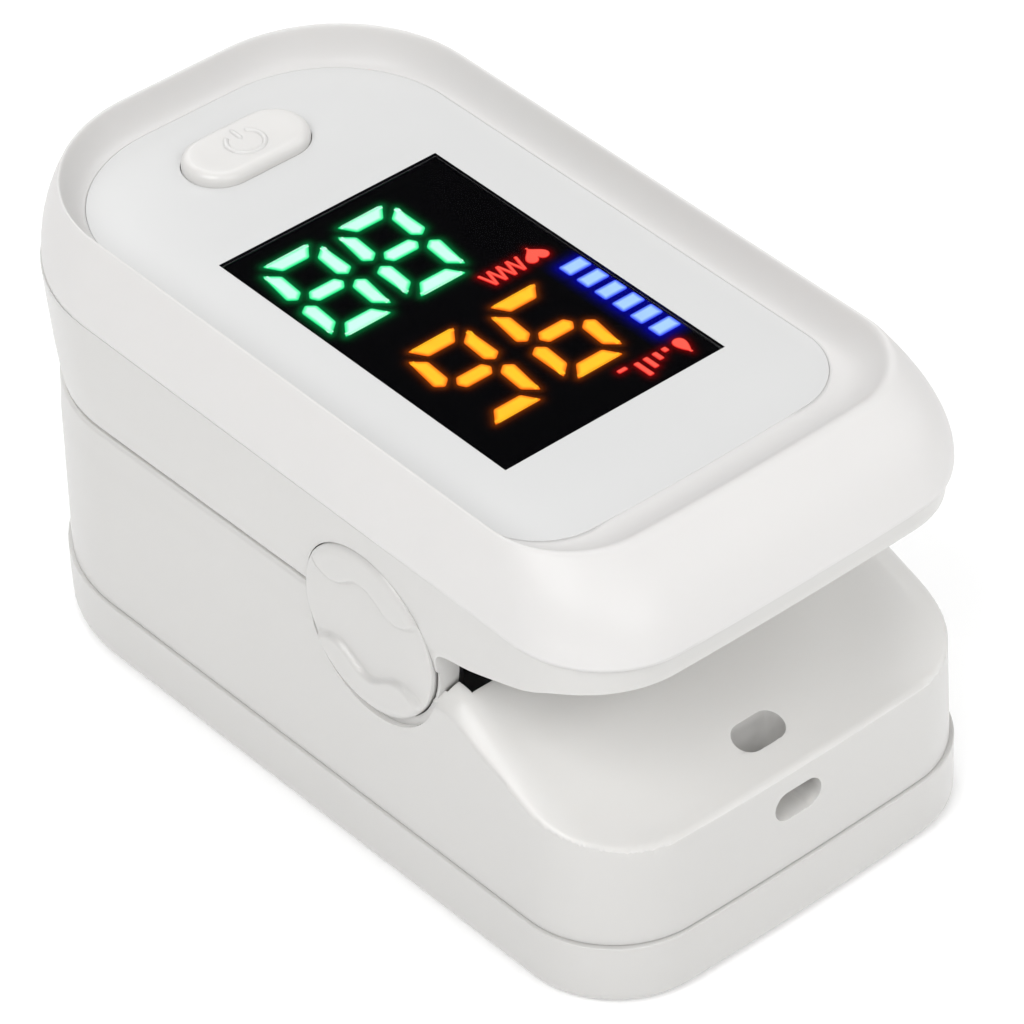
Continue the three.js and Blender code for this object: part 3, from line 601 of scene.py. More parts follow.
BASE_LEVEL = {"half": WIDTH / 2, "far": FAR, "near": NEAR}
TRAY_LIP = 0.09                # rounding of the tray's upper edge
TRAY_TOP = LOWER_BOTTOM - 0.04
TRAY_FLOOR = 1.0


def battery_cover():
    """Shallow tray with a softly rounded bottom edge and a fine top lip."""
    inner = inset(BASE_LEVEL, WALL + 0.2)
    levels = [(inset(BASE_LEVEL, 6), 0.0), (inset(BASE_LEVEL, 3), 0.0)]
    levels += rounded_foot(BASE_LEVEL, BASE_EDGE, 0.0, 9)
    levels += [(BASE_LEVEL, z) for z in spaced(BASE_EDGE + 0.5, TRAY_TOP - TRAY_LIP - 0.05, 5)]
    levels += rounded_top(BASE_LEVEL, TRAY_LIP, TRAY_TOP, 9)
    levels += [(inset(BASE_LEVEL, WALL + 0.1), TRAY_TOP), (inner, TRAY_TOP - 0.1)]
    levels += [(inner, TRAY_FLOOR + 0.2), (inset(inner, 0.2), TRAY_FLOOR)]
    levels.append((inset(inner, 5), TRAY_FLOOR))
    return soften(make_object("battery_tray", loft("battery_tray", levels)), 0)


# --------------------------------------------------------------- lower shell

LOWER_FOOT = {"half": WIDTH / 2 - 0.2, "far": FAR + 0.15, "near": NEAR - 0.2}
DRAFT = 0.27                   # how much the walls lean in towards the rim
SLOPE_THICKNESS = 1.0
INSIDE = {"half": WIDTH / 2 - 0.3 - WALL, "far": FAR + 0.3 + WALL, "near": NEAR - 0.4 - WALL,
          "far_radius": 10.6, "near_radius": 4.8}
HOLLOW = [(INSIDE, 0), (INSIDE, 30)]
RAMP_LINE = [
    (13.9, 16.5), (15.7, 16.4), (18.2, 15.2), (20, 14.4), (21.9, 13.5),
    (24, 12.55), (26, 11.85), (28, 11.4), (31, 11.2),
]
RAMP_INNER = 15.7
EDGE_ROUND = 0.22              # rounding of the slope's outer border
SIDE_DROP = {"x": 13.3, "run": 2.2, "start": 15.3, "end": 29, "first": 1.6, "last": 0.1, "most": 1.75}
LANYARD = {"x": 0.6, "y": NEAR - 3.65, "run": 0.8, "radius": 1.0, "face_z": 8.95}
FINGER = {"z": 17.4, "half": 9.3, "rise": 3.5, "stop": 3.2}
CHEEK = {"x": (13.5, 15), "y": (13.4, RAMP_INNER + 1), "z": (8, 31)}


def ramp_drop(x, y):
    """How much lower the squeezed end is towards its side edges."""
    side_x, run, start, end, first, last, most = SIDE_DROP.values()
    side = min(max((abs(x) - side_x) / run, 0), 1)
    depth = mix(first, last, (y - start) / (end - start))
    return min(max(depth, 0), most) * side ** 2


def above_ramp(lower=0.0, border=None):
    """The space above the squeezed end's dished slope.

    With a border outline, the slope rounds down towards it.
    """
    line = smooth_line(RAMP_LINE, 10 if border else 4)
    half = WIDTH / 2 + 0.6
    turns = spaced(-math.pi / 2, math.pi / 2, 141 if border else 41)
    columns = [half * math.sin(t) for t in turns]

    def level(x, y, z):
        z -= lower + ramp_drop(x, y)
        if border:
            inside = abs(x) < border_half(border, y)
            depth = outline_distance(x, y, border) if inside else 0.0
            short = max(EDGE_ROUND - depth, 0)
            z -= EDGE_ROUND - math.sqrt(max(EDGE_ROUND ** 2 - short ** 2, 0))
        return z

    vertices = [(x, y, level(x, y, z)) for y, z in line for x in columns]
    vertices += [(x, y, CEILING) for y, _ in line for x in columns]
    wide, long = len(columns), len(line)
    roof = wide * long
    faces = grid_faces(wide, long) + grid_faces(wide, long, roof)
    for side in grid_sides(wide, long):
        faces += [(a, b, roof + b, roof + a) for a, b in zip(side, side[1:])]
    return mesh_from("ramp_space", vertices, faces)


def border_half(border, y):
    """Half width of a rounded outline at one Y, on its squeezed end."""
    widest = 0.0
    for (ax, ay), (bx, by) in zip(border, border[1:] + border[:1]):
        if ay != by and min(ay, by) <= y <= max(ay, by):
            widest = max(widest, mix(ax, bx, (y - ay) / (by - ay)))
    return widest


def finger_passage():
    """Oval channel for the finger, flared at its mouth, closed at its end."""
    half, rise, middle, stop = (FINGER[k] for k in ("half", "rise", "z", "stop"))
    stations = smooth_line([
        (FAR - 2, 1.22), (FAR + 1.6, 1.12), (FAR + 5, 1.02), (FAR + 9, 1),
        (stop - 6, 1), (stop - 2.4, 0.88), (stop - 0.6, 0.62), (stop, 0.3),
    ], 5)
    rings = [[(a * half * scale, y, middle + b * rise * scale) for a, b in circle(1, 0, 0, 64)]
             for y, scale in stations]
    return rings_mesh("passage", rings)


def lanyard_tools():
    """The two meeting slots that leave a bar for a strap."""
    x, y, run, radius, face_z = LANYARD.values()
    down = prism("slot_down", obround(run, radius, x, y), "Z", face_z - radius, 20)
    out = [[(px, py, pz) for px, pz in obround(run, radius, x, face_z)] for py in (y, y + 5)]
    return down, rings_mesh("slot_out", out)


def lower_block():
    """The lower housing before it is hollowed, drawn in slightly upwards."""
    crest = inset(LOWER_FOOT, DRAFT)
    rim = inset(crest, 0.14)
    levels = [(inset(LOWER_FOOT, 0.05), LOWER_BOTTOM), (inset(LOWER_FOOT, 0.01), LOWER_BOTTOM + 0.05)]
    for z in spaced(LOWER_BOTTOM, LOWER_CREST, 12)[1:]:
        t = (z - LOWER_BOTTOM) / (LOWER_CREST - LOWER_BOTTOM)
        levels.append((inset(LOWER_FOOT, DRAFT * t), z))
    levels += [(inset(crest, 0.06), LOWER_CREST + 0.3), (inset(crest, 0.1), LOWER_CREST + 1.2)]
    levels += [(rim, LOWER_RIM - 0.3), (inset(rim, 0.05), LOWER_RIM - 0.13)]
    levels.append((inset(rim, 0.2), LOWER_RIM))
    return make_object("lower_housing", loft("lower_housing", levels))


def hinge_notches(side):
    """Room for the upper jaw's tongue and cap, and the dish round the cap."""
    tongue_room = circle(LOBE_RADIUS + 0.12, HINGE_Y + 0.06, HINGE_Z - 0.06)
    cap_room = circle(DISC_RADIUS + 0.08, HINGE_Y, HINGE_Z)
    dish = circle(DISC_RADIUS + 0.25, HINGE_Y + 0.12, HINGE_Z - 0.36)
    return [
        prism("tongue_room", tongue_room, "X", *side_span(side, 12, CAP_SEAT + 0.1)),
        prism("cap_room", cap_room, "X", *side_span(side, CAP_SEAT, 17)),
        prism("dish", dish, "X", *side_span(side, CAP_BACK + 0.4, 17)),
    ]


def finger_side(reach):
    """The space on the finger's side of one Y."""
    return box_mesh("finger_side", ACROSS, (FAR - 5, reach), (-1, CEILING))


def cell_bay():
    """The hollow over the cells, open to the finger, with a cheek each side."""
    bay = carved_mesh(loft("hollow", HOLLOW), "INTERSECT", finger_side(RAMP_INNER))
    across, along, upwards = CHEEK.values()
    cheeks = [box_mesh("cheek", side_span(side, *across), along, upwards) for side in (-1, 1)]
    return carved_mesh(bay, "DIFFERENCE", *cheeks)


def lanyard_block():
    """Solid plastic under the slope, for the lanyard slots."""
    x, y, face_z = LANYARD["x"], LANYARD["y"], LANYARD["face_z"]
    block = box_mesh("block", (x - 3.2, x + 3.2), (y - 2, NEAR - 1), (face_z - 2, 13))
    return carved_mesh(block, "DIFFERENCE", above_ramp(0.2))


def lower_shell():
    """The lower housing: notched, hollowed, slotted and cut to the slope."""
    obj = lower_block()
    for side in (-1, 1):
        for notch in hinge_notches(side):
            carve(obj, "DIFFERENCE", notch)
    under_slope = carved_mesh(loft("under", HOLLOW), "DIFFERENCE", above_ramp(SLOPE_THICKNESS),
                              finger_side(RAMP_INNER - 0.01))
    carve(obj, "DIFFERENCE", cell_bay())
    carve(obj, "DIFFERENCE", under_slope)
    carve(obj, "UNION", lanyard_block())
    carve(obj, "DIFFERENCE", finger_passage(), *lanyard_tools())
    carve(obj, "DIFFERENCE", above_ramp(border=plan(**inset(LOWER_FOOT, 0.2))))
    return soften(obj, 0.15, merge=0.02)


# --------------------------------------------------------------- upper shell

UPPER_PARTING = {"half": 15.52, "far": FAR + 0.3, "near": NEAR - 0.55,
                 "far_radius": FAR_RADIUS, "near_radius": NEAR_RADIUS}
UNDER_EDGE = [(14.9, 19.5), (18, 20.3), (22.6, 21.8), (25.2, 22.6), (30.7, 23.15)]
PAD_LEVEL = {"half": 11.9, "far": FAR + 2.3, "near": 4.4, "far_radius": 9.6, "near_radius": 2, "bow": 0}
SHELF_TOP = 22.95              # the boards are above this shelf, the cushion is below it
SHELF_BOTTOM = 22.05
HINGE_BAY = (4.6, 15.5)        # along Y
SCREW = {"x": 11.2, "y": 18.6, "radius": 1.9}


def upper_profile(lift=0.0):
    """Side view of the upper shell, from the finger rim round the tongue."""
    start = math.pi + math.asin((HINGE_Z - UPPER_RIM) / LOBE_RADIUS)
    points = [(FAR - 5, UPPER_RIM + lift)]
    for a in spaced(start, 2 * math.pi + 0.05, 60):
        points.append((HINGE_Y + LOBE_RADIUS * math.cos(a), HINGE_Z + lift + LOBE_RADIUS * math.sin(a)))
    line = smooth_line([points[-1]] + [(y, z + lift) for y, z in UNDER_EDGE], 10)
    return points + line[1:] + [(NEAR + 5, CEILING), (FAR - 5, CEILING)]


def upper_block():
    """The upper housing before it is hollowed, wider above its crease."""
    crease = inset(dict(UPPER_PARTING, near=NEAR - 0.9), 0.34)
    rim = inset(dict(crease, near=NEAR - 1.6 - 0.34), 0.2)
    lip = inset(rim, 0.2)
    levels = [(lip, 11), (lip, UPPER_RIM), (inset(rim, 0.06), UPPER_RIM + 0.07)]
    levels += [(rim, UPPER_RIM + 0.2), (between(rim, crease, 0.92), UPPER_CREASE - 0.2)]
    levels.append((crease, UPPER_CREASE))
    levels += [(between(crease, UPPER_PARTING, t ** 0.85), mix(UPPER_CREASE, PARTING + 0.4, t))
               for t in (0.05, 0.15, 0.3, 0.45, 0.6, 0.75, 0.9, 1)]
    levels.append((UPPER_PARTING, PARTING + 3))
    return make_object("upper_housing", loft("upper_housing", levels))


def above_parting():
    """The space over the sloping line where the top cover begins."""
    over = make_object("over", box_mesh("over", (-30, 30), (-60, 60), (PARTING, 60)))
    mesh = slope(over).data
    bpy.data.objects.remove(over)
    return mesh


def upper_bays():
    """The hollows for the boards, the hinge, the springs and the cushion."""
    inner = {"half": 13.4, "far": FAR + 2.5, "near": NEAR - 3.2, "far_radius": 10.3, "near_radius": 4.3}
    behind = box_mesh("behind", ACROSS, (5, NEAR + 10), (0, 60))
    after = box_mesh("after", ACROSS, (15.4, NEAR + 10), (0, 60))
    lifted = prism("lifted", upper_profile(1.2), "X", *ACROSS)
    between_tongues = (-TONGUE_INNER, TONGUE_INNER)
    pad = dict(PAD_LEVEL, half=PAD_LEVEL["half"] + 0.3, far=PAD_LEVEL["far"] - 0.3,
               near=HINGE_BAY[0], far_radius=9.9)
    return [
        carved_mesh(loft("bay", [(inner, SHELF_TOP), (inner, CEILING)]), "DIFFERENCE", behind),
        carved_mesh(loft("bay", [(inner, 10), (inner, CEILING)]), "INTERSECT", lifted, after),
        box_mesh("hinge_bay", between_tongues, HINGE_BAY, (10, CEILING)),
        box_mesh("hinge_relief", between_tongues, (2.2, 5.4), (10, SHELF_BOTTOM - 0.2)),
        loft("pad_bay", [(pad, 10), (pad, SHELF_BOTTOM)]),
    ]


def upper_shell():
    """The upper housing: cut to its side view, hollowed and drilled."""
    obj = upper_block()
    carve(obj, "INTERSECT", prism("profile", upper_profile(), "X", *ACROSS))
    carve(obj, "DIFFERENCE", above_parting(), *upper_bays(), finger_passage())
    for side in (-1, 1):
        seat = circle(DISC_RADIUS + 0.06, HINGE_Y, HINGE_Z)
        carve(obj, "DIFFERENCE", prism("seat", seat, "X", *side_span(side, CAP_SEAT, 18)))
        screw_hole = circle(SCREW["radius"], side * SCREW["x"], SCREW["y"], 32)
        carve(obj, "DIFFERENCE", prism("screw_hole", screw_hole, "Z", 15, 22.1))
    return soften(obj, 0.2)


# ----------------------------------------------------------------- top cover

COVER_FOOT = dict(UPPER_PARTING, half=15.55, near=NEAR - 0.5)
CREST = {"half": 14.05, "far": FAR + 2.0, "near": NEAR - 4.8, "far_radius": 10, "near_radius": 5.5}
PANEL_EDGE = {"half": 12.6, "far": FAR + 3.1, "near": NEAR - 8.9, "far_radius": 9, "near_radius": 4.5}


def cover_profile():
    """(position, z) up the wall, over the crest and down to the panel.

    Position 0 is the foot, 1 the crest and 2 the edge of the panel.
    """
    foot = PARTING + 0.15
    crest = COVER_CREST + 0.12
    wall = [(h ** 2.1, mix(foot, crest, h)) for h in spaced(0.03, 0.93, 16)]
    scoop = [(2 - u, PANEL_TOP + (crest - PANEL_TOP) * u ** 2) for u in spaced(0.84, 0.0, 12)]
    crown_top = (1.0, COVER_CREST + 0.22)
    crown = []
    for t in spaced(0, 1, 10)[1:-1]:
        crown.append(tuple((1 - t) ** 2 * a + 2 * t * (1 - t) * b + t ** 2 * c
                           for a, b, c in zip(wall[-1], crown_top, scoop[0])))
    return wall + crown + scoop


def cover_level(position):
    """The cover's outline at one position of its profile."""
    if position <= 1:
        return between(COVER_FOOT, CREST, position)
    return between(CREST, PANEL_EDGE, position - 1)


def top_cover():
    """The bowl-edged cover, with a ledge for the panel and a hollow inside."""
    foot = PARTING + 0.02
    ledge = PANEL_TOP - 0.32
    opening, inner = inset(PANEL_EDGE, 1.1), inset(UPPER_PARTING, 1.8)
    levels = [(inset(COVER_FOOT, 0.1), foot), (inset(COVER_FOOT, 0.03), foot + 0.03)]
    levels += [(cover_level(position), z) for position, z in cover_profile()]
    levels += [(PANEL_EDGE, PANEL_TOP - 0.04), (PANEL_EDGE, PANEL_TOP - 0.2)]
    levels += [(inset(PANEL_EDGE, 0.12), ledge), (opening, ledge), (opening, PARTING + 0.95)]
    levels += [(inner, PARTING + 0.9), (inner, foot)]
    obj = make_object("cover_housing", loft("cover_housing", levels, closed=True))
    return slope(soften(obj, 0))


# -------------------------------------------------- face panel, window, button

def window_area(clear=0.0):
    """The window's ranges of X and Y, less a clearance all round."""
    half, far, near = WINDOW.values()
    return (clear - half, half - clear), (far + clear, near - clear)


def face_panel():
    """Glossy sheet with a square window opening and the button's slot."""
    level = inset(PANEL_EDGE, 0.02)
    obj = make_object("face_sheet", loft("face_sheet", [(level, PANEL_TOP - 0.3), (level, PANEL_TOP)]))
    slot = obround(BUTTON["run"], BUTTON["radius"] + 0.05, 0, BUTTON["y"])
    carve(obj, "DIFFERENCE", box_mesh("opening", *window_area(), (20, CEILING)),
          prism("slot", slot, "Z", 20, CEILING))
    return slope(soften(obj, 0.03, 2, 60))


def display_window():
    """The dark film over the display."""
    film = box_mesh("window_glass", *window_area(0.01), (PANEL_TOP - 0.25, PANEL_TOP))
    return slope(soften(make_object("window_glass", film), 0.01, 1, 60))


def power_button():
    """Slot-shaped key with a flange, a round edge and a fine on/off mark."""
    y, run, radius, top = BUTTON.values()
    flange_top, round_edge, mark_radius, line = 27.2, 0.6, 1.2, 0.2

    def ring_at(z, ring_radius, ring_run=run):
        return level_ring(obround(ring_run, ring_radius, 0, y), z)

    rings = [ring_at(flange_top - 0.6, radius + 0.6), ring_at(flange_top, radius + 0.6)]
    rings.append(ring_at(flange_top, radius))
    for a in spaced(0, math.pi / 2, 10):
        z = top - round_edge * (1 - math.sin(a))
        rings.append(ring_at(z, radius - round_edge * (1 - math.cos(a))))
    rings += [ring_at(top - 0.03, radius - 1.3), ring_at(top - 0.05, 0.4, run * 0.9)]
    obj = make_object("power_key", rings_mesh("power_key", rings))
    mark_z = top - 0.6 * line
    mark_ring = [(mark_radius * math.sin(a), y - mark_radius * math.cos(a), mark_z)
                 for a in spaced(math.radians(32), math.radians(328), 44)]
    mark_bar = [(0, y - t, mark_z) for t in spaced(0.3, 1.6, 6)]
    ribs = [rod_mesh(path, line, (0, 0, 1), 12, 0.35) for path in (mark_ring, mark_bar)]
    return slope(join_meshes(obj, ribs))


def rod_mesh(path, radius, square_to, sides, tip=1.0):
    """A round rod along a path in the plane square to one direction.

    The two ends are tip times as thick.
    """
    points = [Vector(p) for p in path]
    upright = Vector(square_to)
    last = len(points) - 1
    rings = []
    for i, point in enumerate(points):
        along = (points[min(i + 1, last)] - points[max(i - 1, 0)]).normalized()
        across = along.cross(upright)
        size = radius * (tip if i in (0, last) else 1)
        rings.append([tuple(point + upright * u + across * v) for u, v in circle(size, 0, 0, sides)])
    return rings_mesh("rod", rings)


def join_meshes(obj, meshes):
    """Adds meshes to an object, all of it smooth."""
    work = bmesh.new()
    work.from_mesh(obj.data)
    for mesh in meshes:
        work.from_mesh(mesh)
    for face in work.faces:
        face.smooth = True
    work.to_mesh(obj.data)
    work.free()
    return obj


# -------------------------------------------------------------- lit display

DIGIT = {"half": 1.9, "rise": 3.68, "bar": 0.56, "slant": 0.075}
LIT_FIGURES = [(8, -0.75, -6.9, "green"), (8, 4.95, -6.9, "green"),
               (9, -2.4, 5.1, "amber"), (6, 3.85, 5.1, "amber")]
LIT_BARS = {8: (1, 1, 1, 1, 1, 1, 1), 9: (1, 1, 1, 1, 0, 1, 1), 6: (1, 1, 1, 0, 1, 1, 1)}
PULSE_BARS = {"x": (-8.2, -6.45), "y": 0.65, "pitch": 1.56, "height": 1.1, "count": 6}
GLOW = {"green": (0.0, 0.17, 0.04), "amber": (0.17, 0.03, 0.0),
        "blue": (0.0, 0.0, 0.34), "red": (0.16, 0.0, 0.0)}
GLOW_REACH = {"green": 0.22, "amber": 0.2, "blue": 0.32, "red": 0.18}
CORE_DEPTH = {"green": 0.28, "amber": 0.28, "blue": 0.28, "red": 0.1}


def bar_outlines():
    """The seven bars of a figure about its middle: ends, uprights, middle."""
    half, rise, bar = DIGIT["half"], DIGIT["rise"], DIGIT["bar"]
    end = [(-1.75, rise + bar), (1.75, rise + bar), (1.0, rise - bar), (-1.0, rise - bar)]
    upright = [(half + bar, 0.75), (half, 0.33), (half - bar, 0.8), (half - bar, 2.75),
               (half + bar - 0.2, 3.55)]
    middle = [(-1.3, 0), (-0.95, -bar), (0.95, -bar), (1.3, 0), (0.95, bar), (-0.95, bar)]

    def flip(points, u, v):
        return [(x * u, y * v) for x, y in points]

    return [end, flip(end, 1, -1), flip(upright, -1, 1), upright,
            flip(upright, -1, -1), flip(upright, 1, -1), middle]


def rounded(points, radius=0.16, steps=4):
    """The polygon with its corners rounded off."""
    result = []
    for before, corner, after in zip(points[-1:] + points[:-1], points, points[1:] + points[:1]):
        c = Vector(corner)
        a, b = Vector(before) - c, Vector(after) - c
        reach = min(radius, a.length * 0.45, b.length * 0.45)
        p, q = c + a.normalized() * reach, c + b.normalized() * reach
        for t in spaced(0, 1, steps):
            result.append(tuple(p * (1 - t) ** 2 + c * 2 * t * (1 - t) + q * t ** 2))
    return result


def shrunk(points, by):
    """The outline moved inwards along its corner directions."""
    area = sum(a[0] * b[1] - b[0] * a[1] for a, b in zip(points, points[1:] + points[:1]))
    turn = 1 if area > 0 else -1
    result = []
    for before, point, after in zip(points[-1:] + points[:-1], points, points[1:] + points[:1]):
        along = (Vector(after) - Vector(before)).normalized()
        result.append((point[0] - along.y * by * turn, point[1] + along.x * by * turn))
    return result


def heart():
    """A plain heart about its middle."""
    points = []
    for a in spaced(0, 2 * math.pi, 49)[:-1]:
        x = 16 * math.sin(a) ** 3
        y = 13 * math.cos(a) - 5 * math.cos(2 * a) - 2 * math.cos(3 * a) - math.cos(4 * a)
        points.append((x * 0.052, y * 0.052))
    return points


def drop():
    """A plain droplet about its middle."""
    points = []
    for a in spaced(0, 2 * math.pi, 33)[:-1]:
        points.append((0.62 * math.sin(a) * math.sin(a / 2) ** 1.4, 0.8 * math.cos(a)))
    return points


def stroke(x0, y0, x1, y1, thick=0.17):
    """A short slanted line of the small signs."""
    along = Vector((x1 - x0, y1 - y0)).normalized() * thick
    return rounded([(x0 - along.y, y0 + along.x), (x0 + along.y, y0 - along.x),
                    (x1 + along.y, y1 - along.x), (x1 - along.y, y1 + along.x)], 0.12)


def lit_outlines():
    """Every lit outline as (colour, points)."""
    shapes = []
    for value, x, y, colour in LIT_FIGURES:
        for lit, points in zip(LIT_BARS[value], bar_outlines()):
            if lit:
                slanted = [(x + u + v * DIGIT["slant"], y + v) for u, v in points]
                shapes.append((colour, rounded(slanted)))
    (x0, x1), first, pitch, height, count = PULSE_BARS.values()
    for i in range(count):
        y = first + i * pitch
        shapes.append(("blue", rounded([(x0, y), (x1, y), (x1, y + height), (x0, y + height)], 0.2)))
    shapes.append(("red", [(x - 6.3, y - 1.2) for x, y in heart()]))
    trace = [(-5.3 + 0.36 * i, -0.5 if i % 2 else -1.9) for i in range(9)]
    shapes += [("red", stroke(*a, *b, 0.13)) for a, b in zip(trace, trace[1:])]
    shapes.append(("red", [(x - 6.9, y + 11.1) for x, y in drop()]))
    ground = 10.45
    shapes += [("red", stroke(x, ground, x, ground + rise, 0.2))
               for x, rise in ((-5.85, 0.45), (-5.15, 0.8), (-4.45, 1.15), (-3.75, 1.5))]
    shapes.append(("red", stroke(-3.1, ground, -2.4, ground, 0.17)))
    return shapes


def lit_bars(colour, shapes):
    """Raised bars whose core attribute rises from the rim to the middle."""
    deep = CORE_DEPTH[colour]
    steps = [(0, MODULE_TOP, 0.0), (0, LIT_TOP - 0.02, 0.0), (0.02, LIT_TOP, 0.08),
             (deep * 0.4, LIT_TOP, 0.5), (deep, LIT_TOP, 1.0)]
    vertices, faces, core = [], [], []
    for points in shapes:
        count = len(points)
        start = len(vertices)
        for by, z, value in steps:
            vertices += level_ring(shrunk(points, by), z)
            core += [value] * count
        last = len(vertices) - count
        for a in range(start, last, count):
            faces += band(a, a + count, count)
        faces.append(tuple(range(last, last + count)))
        faces.append(tuple(reversed(range(start, start + count))))
    mesh = mesh_from(f"lit_{colour}", vertices, faces)
    attribute = mesh.attributes.new("core", "FLOAT", "POINT")
    for entry, value in zip(attribute.data, core):
        entry.value = value
    return slope(make_object(f"lit_{colour}", mesh))


def outline_distance(x, y, points):
    """Distance from a point to a closed outline, or 9 if it is further."""
    nearest = 9.0
    for (ax, ay), (bx, by) in zip(points, points[1:] + points[:1]):
        dx, dy = bx - ax, by - ay
        t = min(max(((x - ax) * dx + (y - ay) * dy) / max(dx * dx + dy * dy, 1e-9), 0), 1)
        nearest = min(nearest, math.hypot(x - ax - t * dx, y - ay - t * dy))
    return nearest


def glow_at(x, y, shapes):
    """The light that the lit shapes near a point spill on it."""
    reach = max(GLOW_REACH.values()) * 3
    total = [0.0, 0.0, 0.0]
    for colour, points, (x0, x1), (y0, y1) in shapes:
        if x0 - reach < x < x1 + reach and y0 - reach < y < y1 + reach:
            fall = math.exp(-(outline_distance(x, y, points) / GLOW_REACH[colour]) ** 1.3)
            total = [max(a, b * fall) for a, b in zip(total, GLOW[colour])]
    return (*total, 1.0)


def display_block(shapes):
    """The module's black face as a fine grid that carries the figures' glow."""
    (left, right), (far, near) = window_area(0.1)
    wide, long = 84, 129
    ranges = [(colour, points, *((min(values), max(values)) for values in zip(*points)))
              for colour, points in shapes]
    vertices = [(x, y, MODULE_TOP) for y in spaced(far, near, long) for x in spaced(left, right, wide)]
    colours = [glow_at(x, y, ranges) for x, y, _ in vertices]
    faces = grid_faces(wide, long)
    start = len(vertices)
    outline = [(left, far), (right, far), (right, near), (left, near)]
    vertices += level_ring(outline, PANEL_TOP - 1.2) + level_ring(outline, 25.1)
    colours += [(0, 0, 0, 1)] * 8
    for i, line in enumerate(grid_sides(wide, long)):
        a, b = start + i, start + (i + 1) % 4
        faces.append((*line, b, a))
        faces.append((a, b, b + 4, a + 4))
    faces.append(tuple(start + 4 + i for i in range(4)))
    mesh = mesh_from("display_block", vertices, faces)
    attribute = mesh.attributes.new("glow", "FLOAT_COLOR", "POINT")
    for entry, colour in zip(attribute.data, colours):
        entry.color = colour
    return slope(make_object("display_block", mesh))


# ---------------------------------------------------------------- hinge caps

def crescent_edge(y):
    """Height of a crescent's wavy inner edge, along the cap."""
    wave = math.cos(math.pi * y / (DISC_RADIUS * 1.05)) ** 2
    return 2.2 + 1.2 * wave


def cap_height(y, z):
    """X of the cap's face: soft raised crescents beside a sunken band."""
    radius = math.hypot(y, z)
    rise = min(max((abs(z) - crescent_edge(y)) / CRESCENT_BLEND + 0.5, 0), 1)
    rise = rise * rise * (3 - 2 * rise)
    outer = min(max((DISC_RADIUS - radius) / CAP_ROUND, 0), 1)
    edge = math.sqrt(max(1 - (1 - outer) ** 2, 0))
    face = mix(CAP_BAND, CAP_FACE, rise)
    return mix(CAP_BAND - 0.08, face, edge)


def hinge_cap(side):
    """Round cap over the hinge, with finer rings towards its rim."""
    name = "cap_right" if side > 0 else "cap_left"
    around = 180
    rim = (0.7, 0.62, 0.55, 0.46, 0.38, 0.3, 0.22, 0.15, 0.09, 0.045, 0.015, 0)
    radii = [DISC_RADIUS * t for t in spaced(0.02, 0.86, 46)] + [DISC_RADIUS - d for d in rim]
    rings = [[(side * CAP_BACK, y, z) for y, z in circle(DISC_RADIUS, 0, 0, around)]]
    for radius in reversed(radii):
        rings.append([(side * cap_height(y, z), y, z) for y, z in circle(radius, 0, 0, around)])
    placed = [[(x, y + HINGE_Y, z + HINGE_Z) for x, y, z in ring] for ring in rings]
    return soften(make_object(name, rings_mesh(name, placed)), 0)


# -------------------------------------------------------------- finger pads

LIGHT_HOLE = {"y": -9, "radius": 2.3}
PAD_ROUND = 0.45
RIB_RADIUS = 0.22


def finger_pad(name, bottom, top, upper):
    """Silicone cushion: crowned edges, the finger's channel and fine ribs."""
    levels = rounded_foot(PAD_LEVEL, PAD_ROUND, bottom, 6)
    levels += rounded_top(PAD_LEVEL, PAD_ROUND, top, 6)
    obj = make_object(name, loft(name, levels))
    hole = circle(LIGHT_HOLE["radius"], 0, LIGHT_HOLE["y"], 48)
    light_hole = prism("hole", hole, "Z", *((18, 23) if upper else (10, 15)))
    carve(obj, "DIFFERENCE", finger_passage(), light_hole)
    half, rise = FINGER["half"] + 0.02, FINGER["rise"] + 0.02
    way = 1 if upper else -1
    for y in spaced(-23.5, -14.5, 4) + spaced(-3.5, 0.5, 2):
        arc = [(half * math.cos(a), y, FINGER["z"] + way * rise * math.sin(a))
               for a in spaced(math.radians(25), math.radians(155), 24)]
        carve(obj, "DIFFERENCE", rod_mesh(arc, RIB_RADIUS, (0, 1, 0), 10))
    return soften(obj, 0.25, 3, 35)


# ------------------------------------------------------------------ assembly

fit_out(battery_cover(), "battery_cover", HOUSING, ["battery_cover"])
fit_out(lower_shell(), "lower_jaw", LOWER_HOUSING, ["lower_shell"])
fit_out(upper_shell(), "upper_jaw", HOUSING, ["upper_shell"])
fit_out(top_cover(), "upper_jaw", COVER, ["top_cover"])
fit_out(face_panel(), "upper_jaw", PANEL, ["face_panel"])
fit_out(display_window(), "upper_jaw", WINDOW_FILM, ["display_window"])
fit_out(power_button(), "power_button", BUTTON_PLASTIC, ["power_button"])
for cap_side, cap_node in ((-1, "hinge_cap_left"), (1, "hinge_cap_right")):
    fit_out(hinge_cap(cap_side), "upper_jaw", HOUSING, [cap_node])

lit_shapes = lit_outlines()
fit_out(display_block(lit_shapes), "upper_jaw", DISPLAY_FACE, ["led_display"])
LIT_LOOKS = {"green": GREEN_LIT, "amber": AMBER_LIT, "blue": BLUE_LIT, "red": RED_LIT}
for lit_colour, lit_look in LIT_LOOKS.items():
    own = [points for colour, points in lit_shapes if colour == lit_colour]
    fit_out(lit_bars(lit_colour, own), "upper_jaw", lit_look)

PADS = (
    ("lower_cushion", 12.6, LOWER_RIM - 0.25, False, "lower_jaw", "lower_finger_pad"),
    ("upper_cushion", UPPER_RIM + 0.25, 21.75, True, "upper_jaw", "upper_finger_pad"),
)
for pad_name, pad_bottom, pad_top, is_upper, pad_body, pad_node in PADS:
    cushion = finger_pad(pad_name, pad_bottom, pad_top, is_upper)
    fit_out(cushion, pad_body, SILICONE, [pad_node])

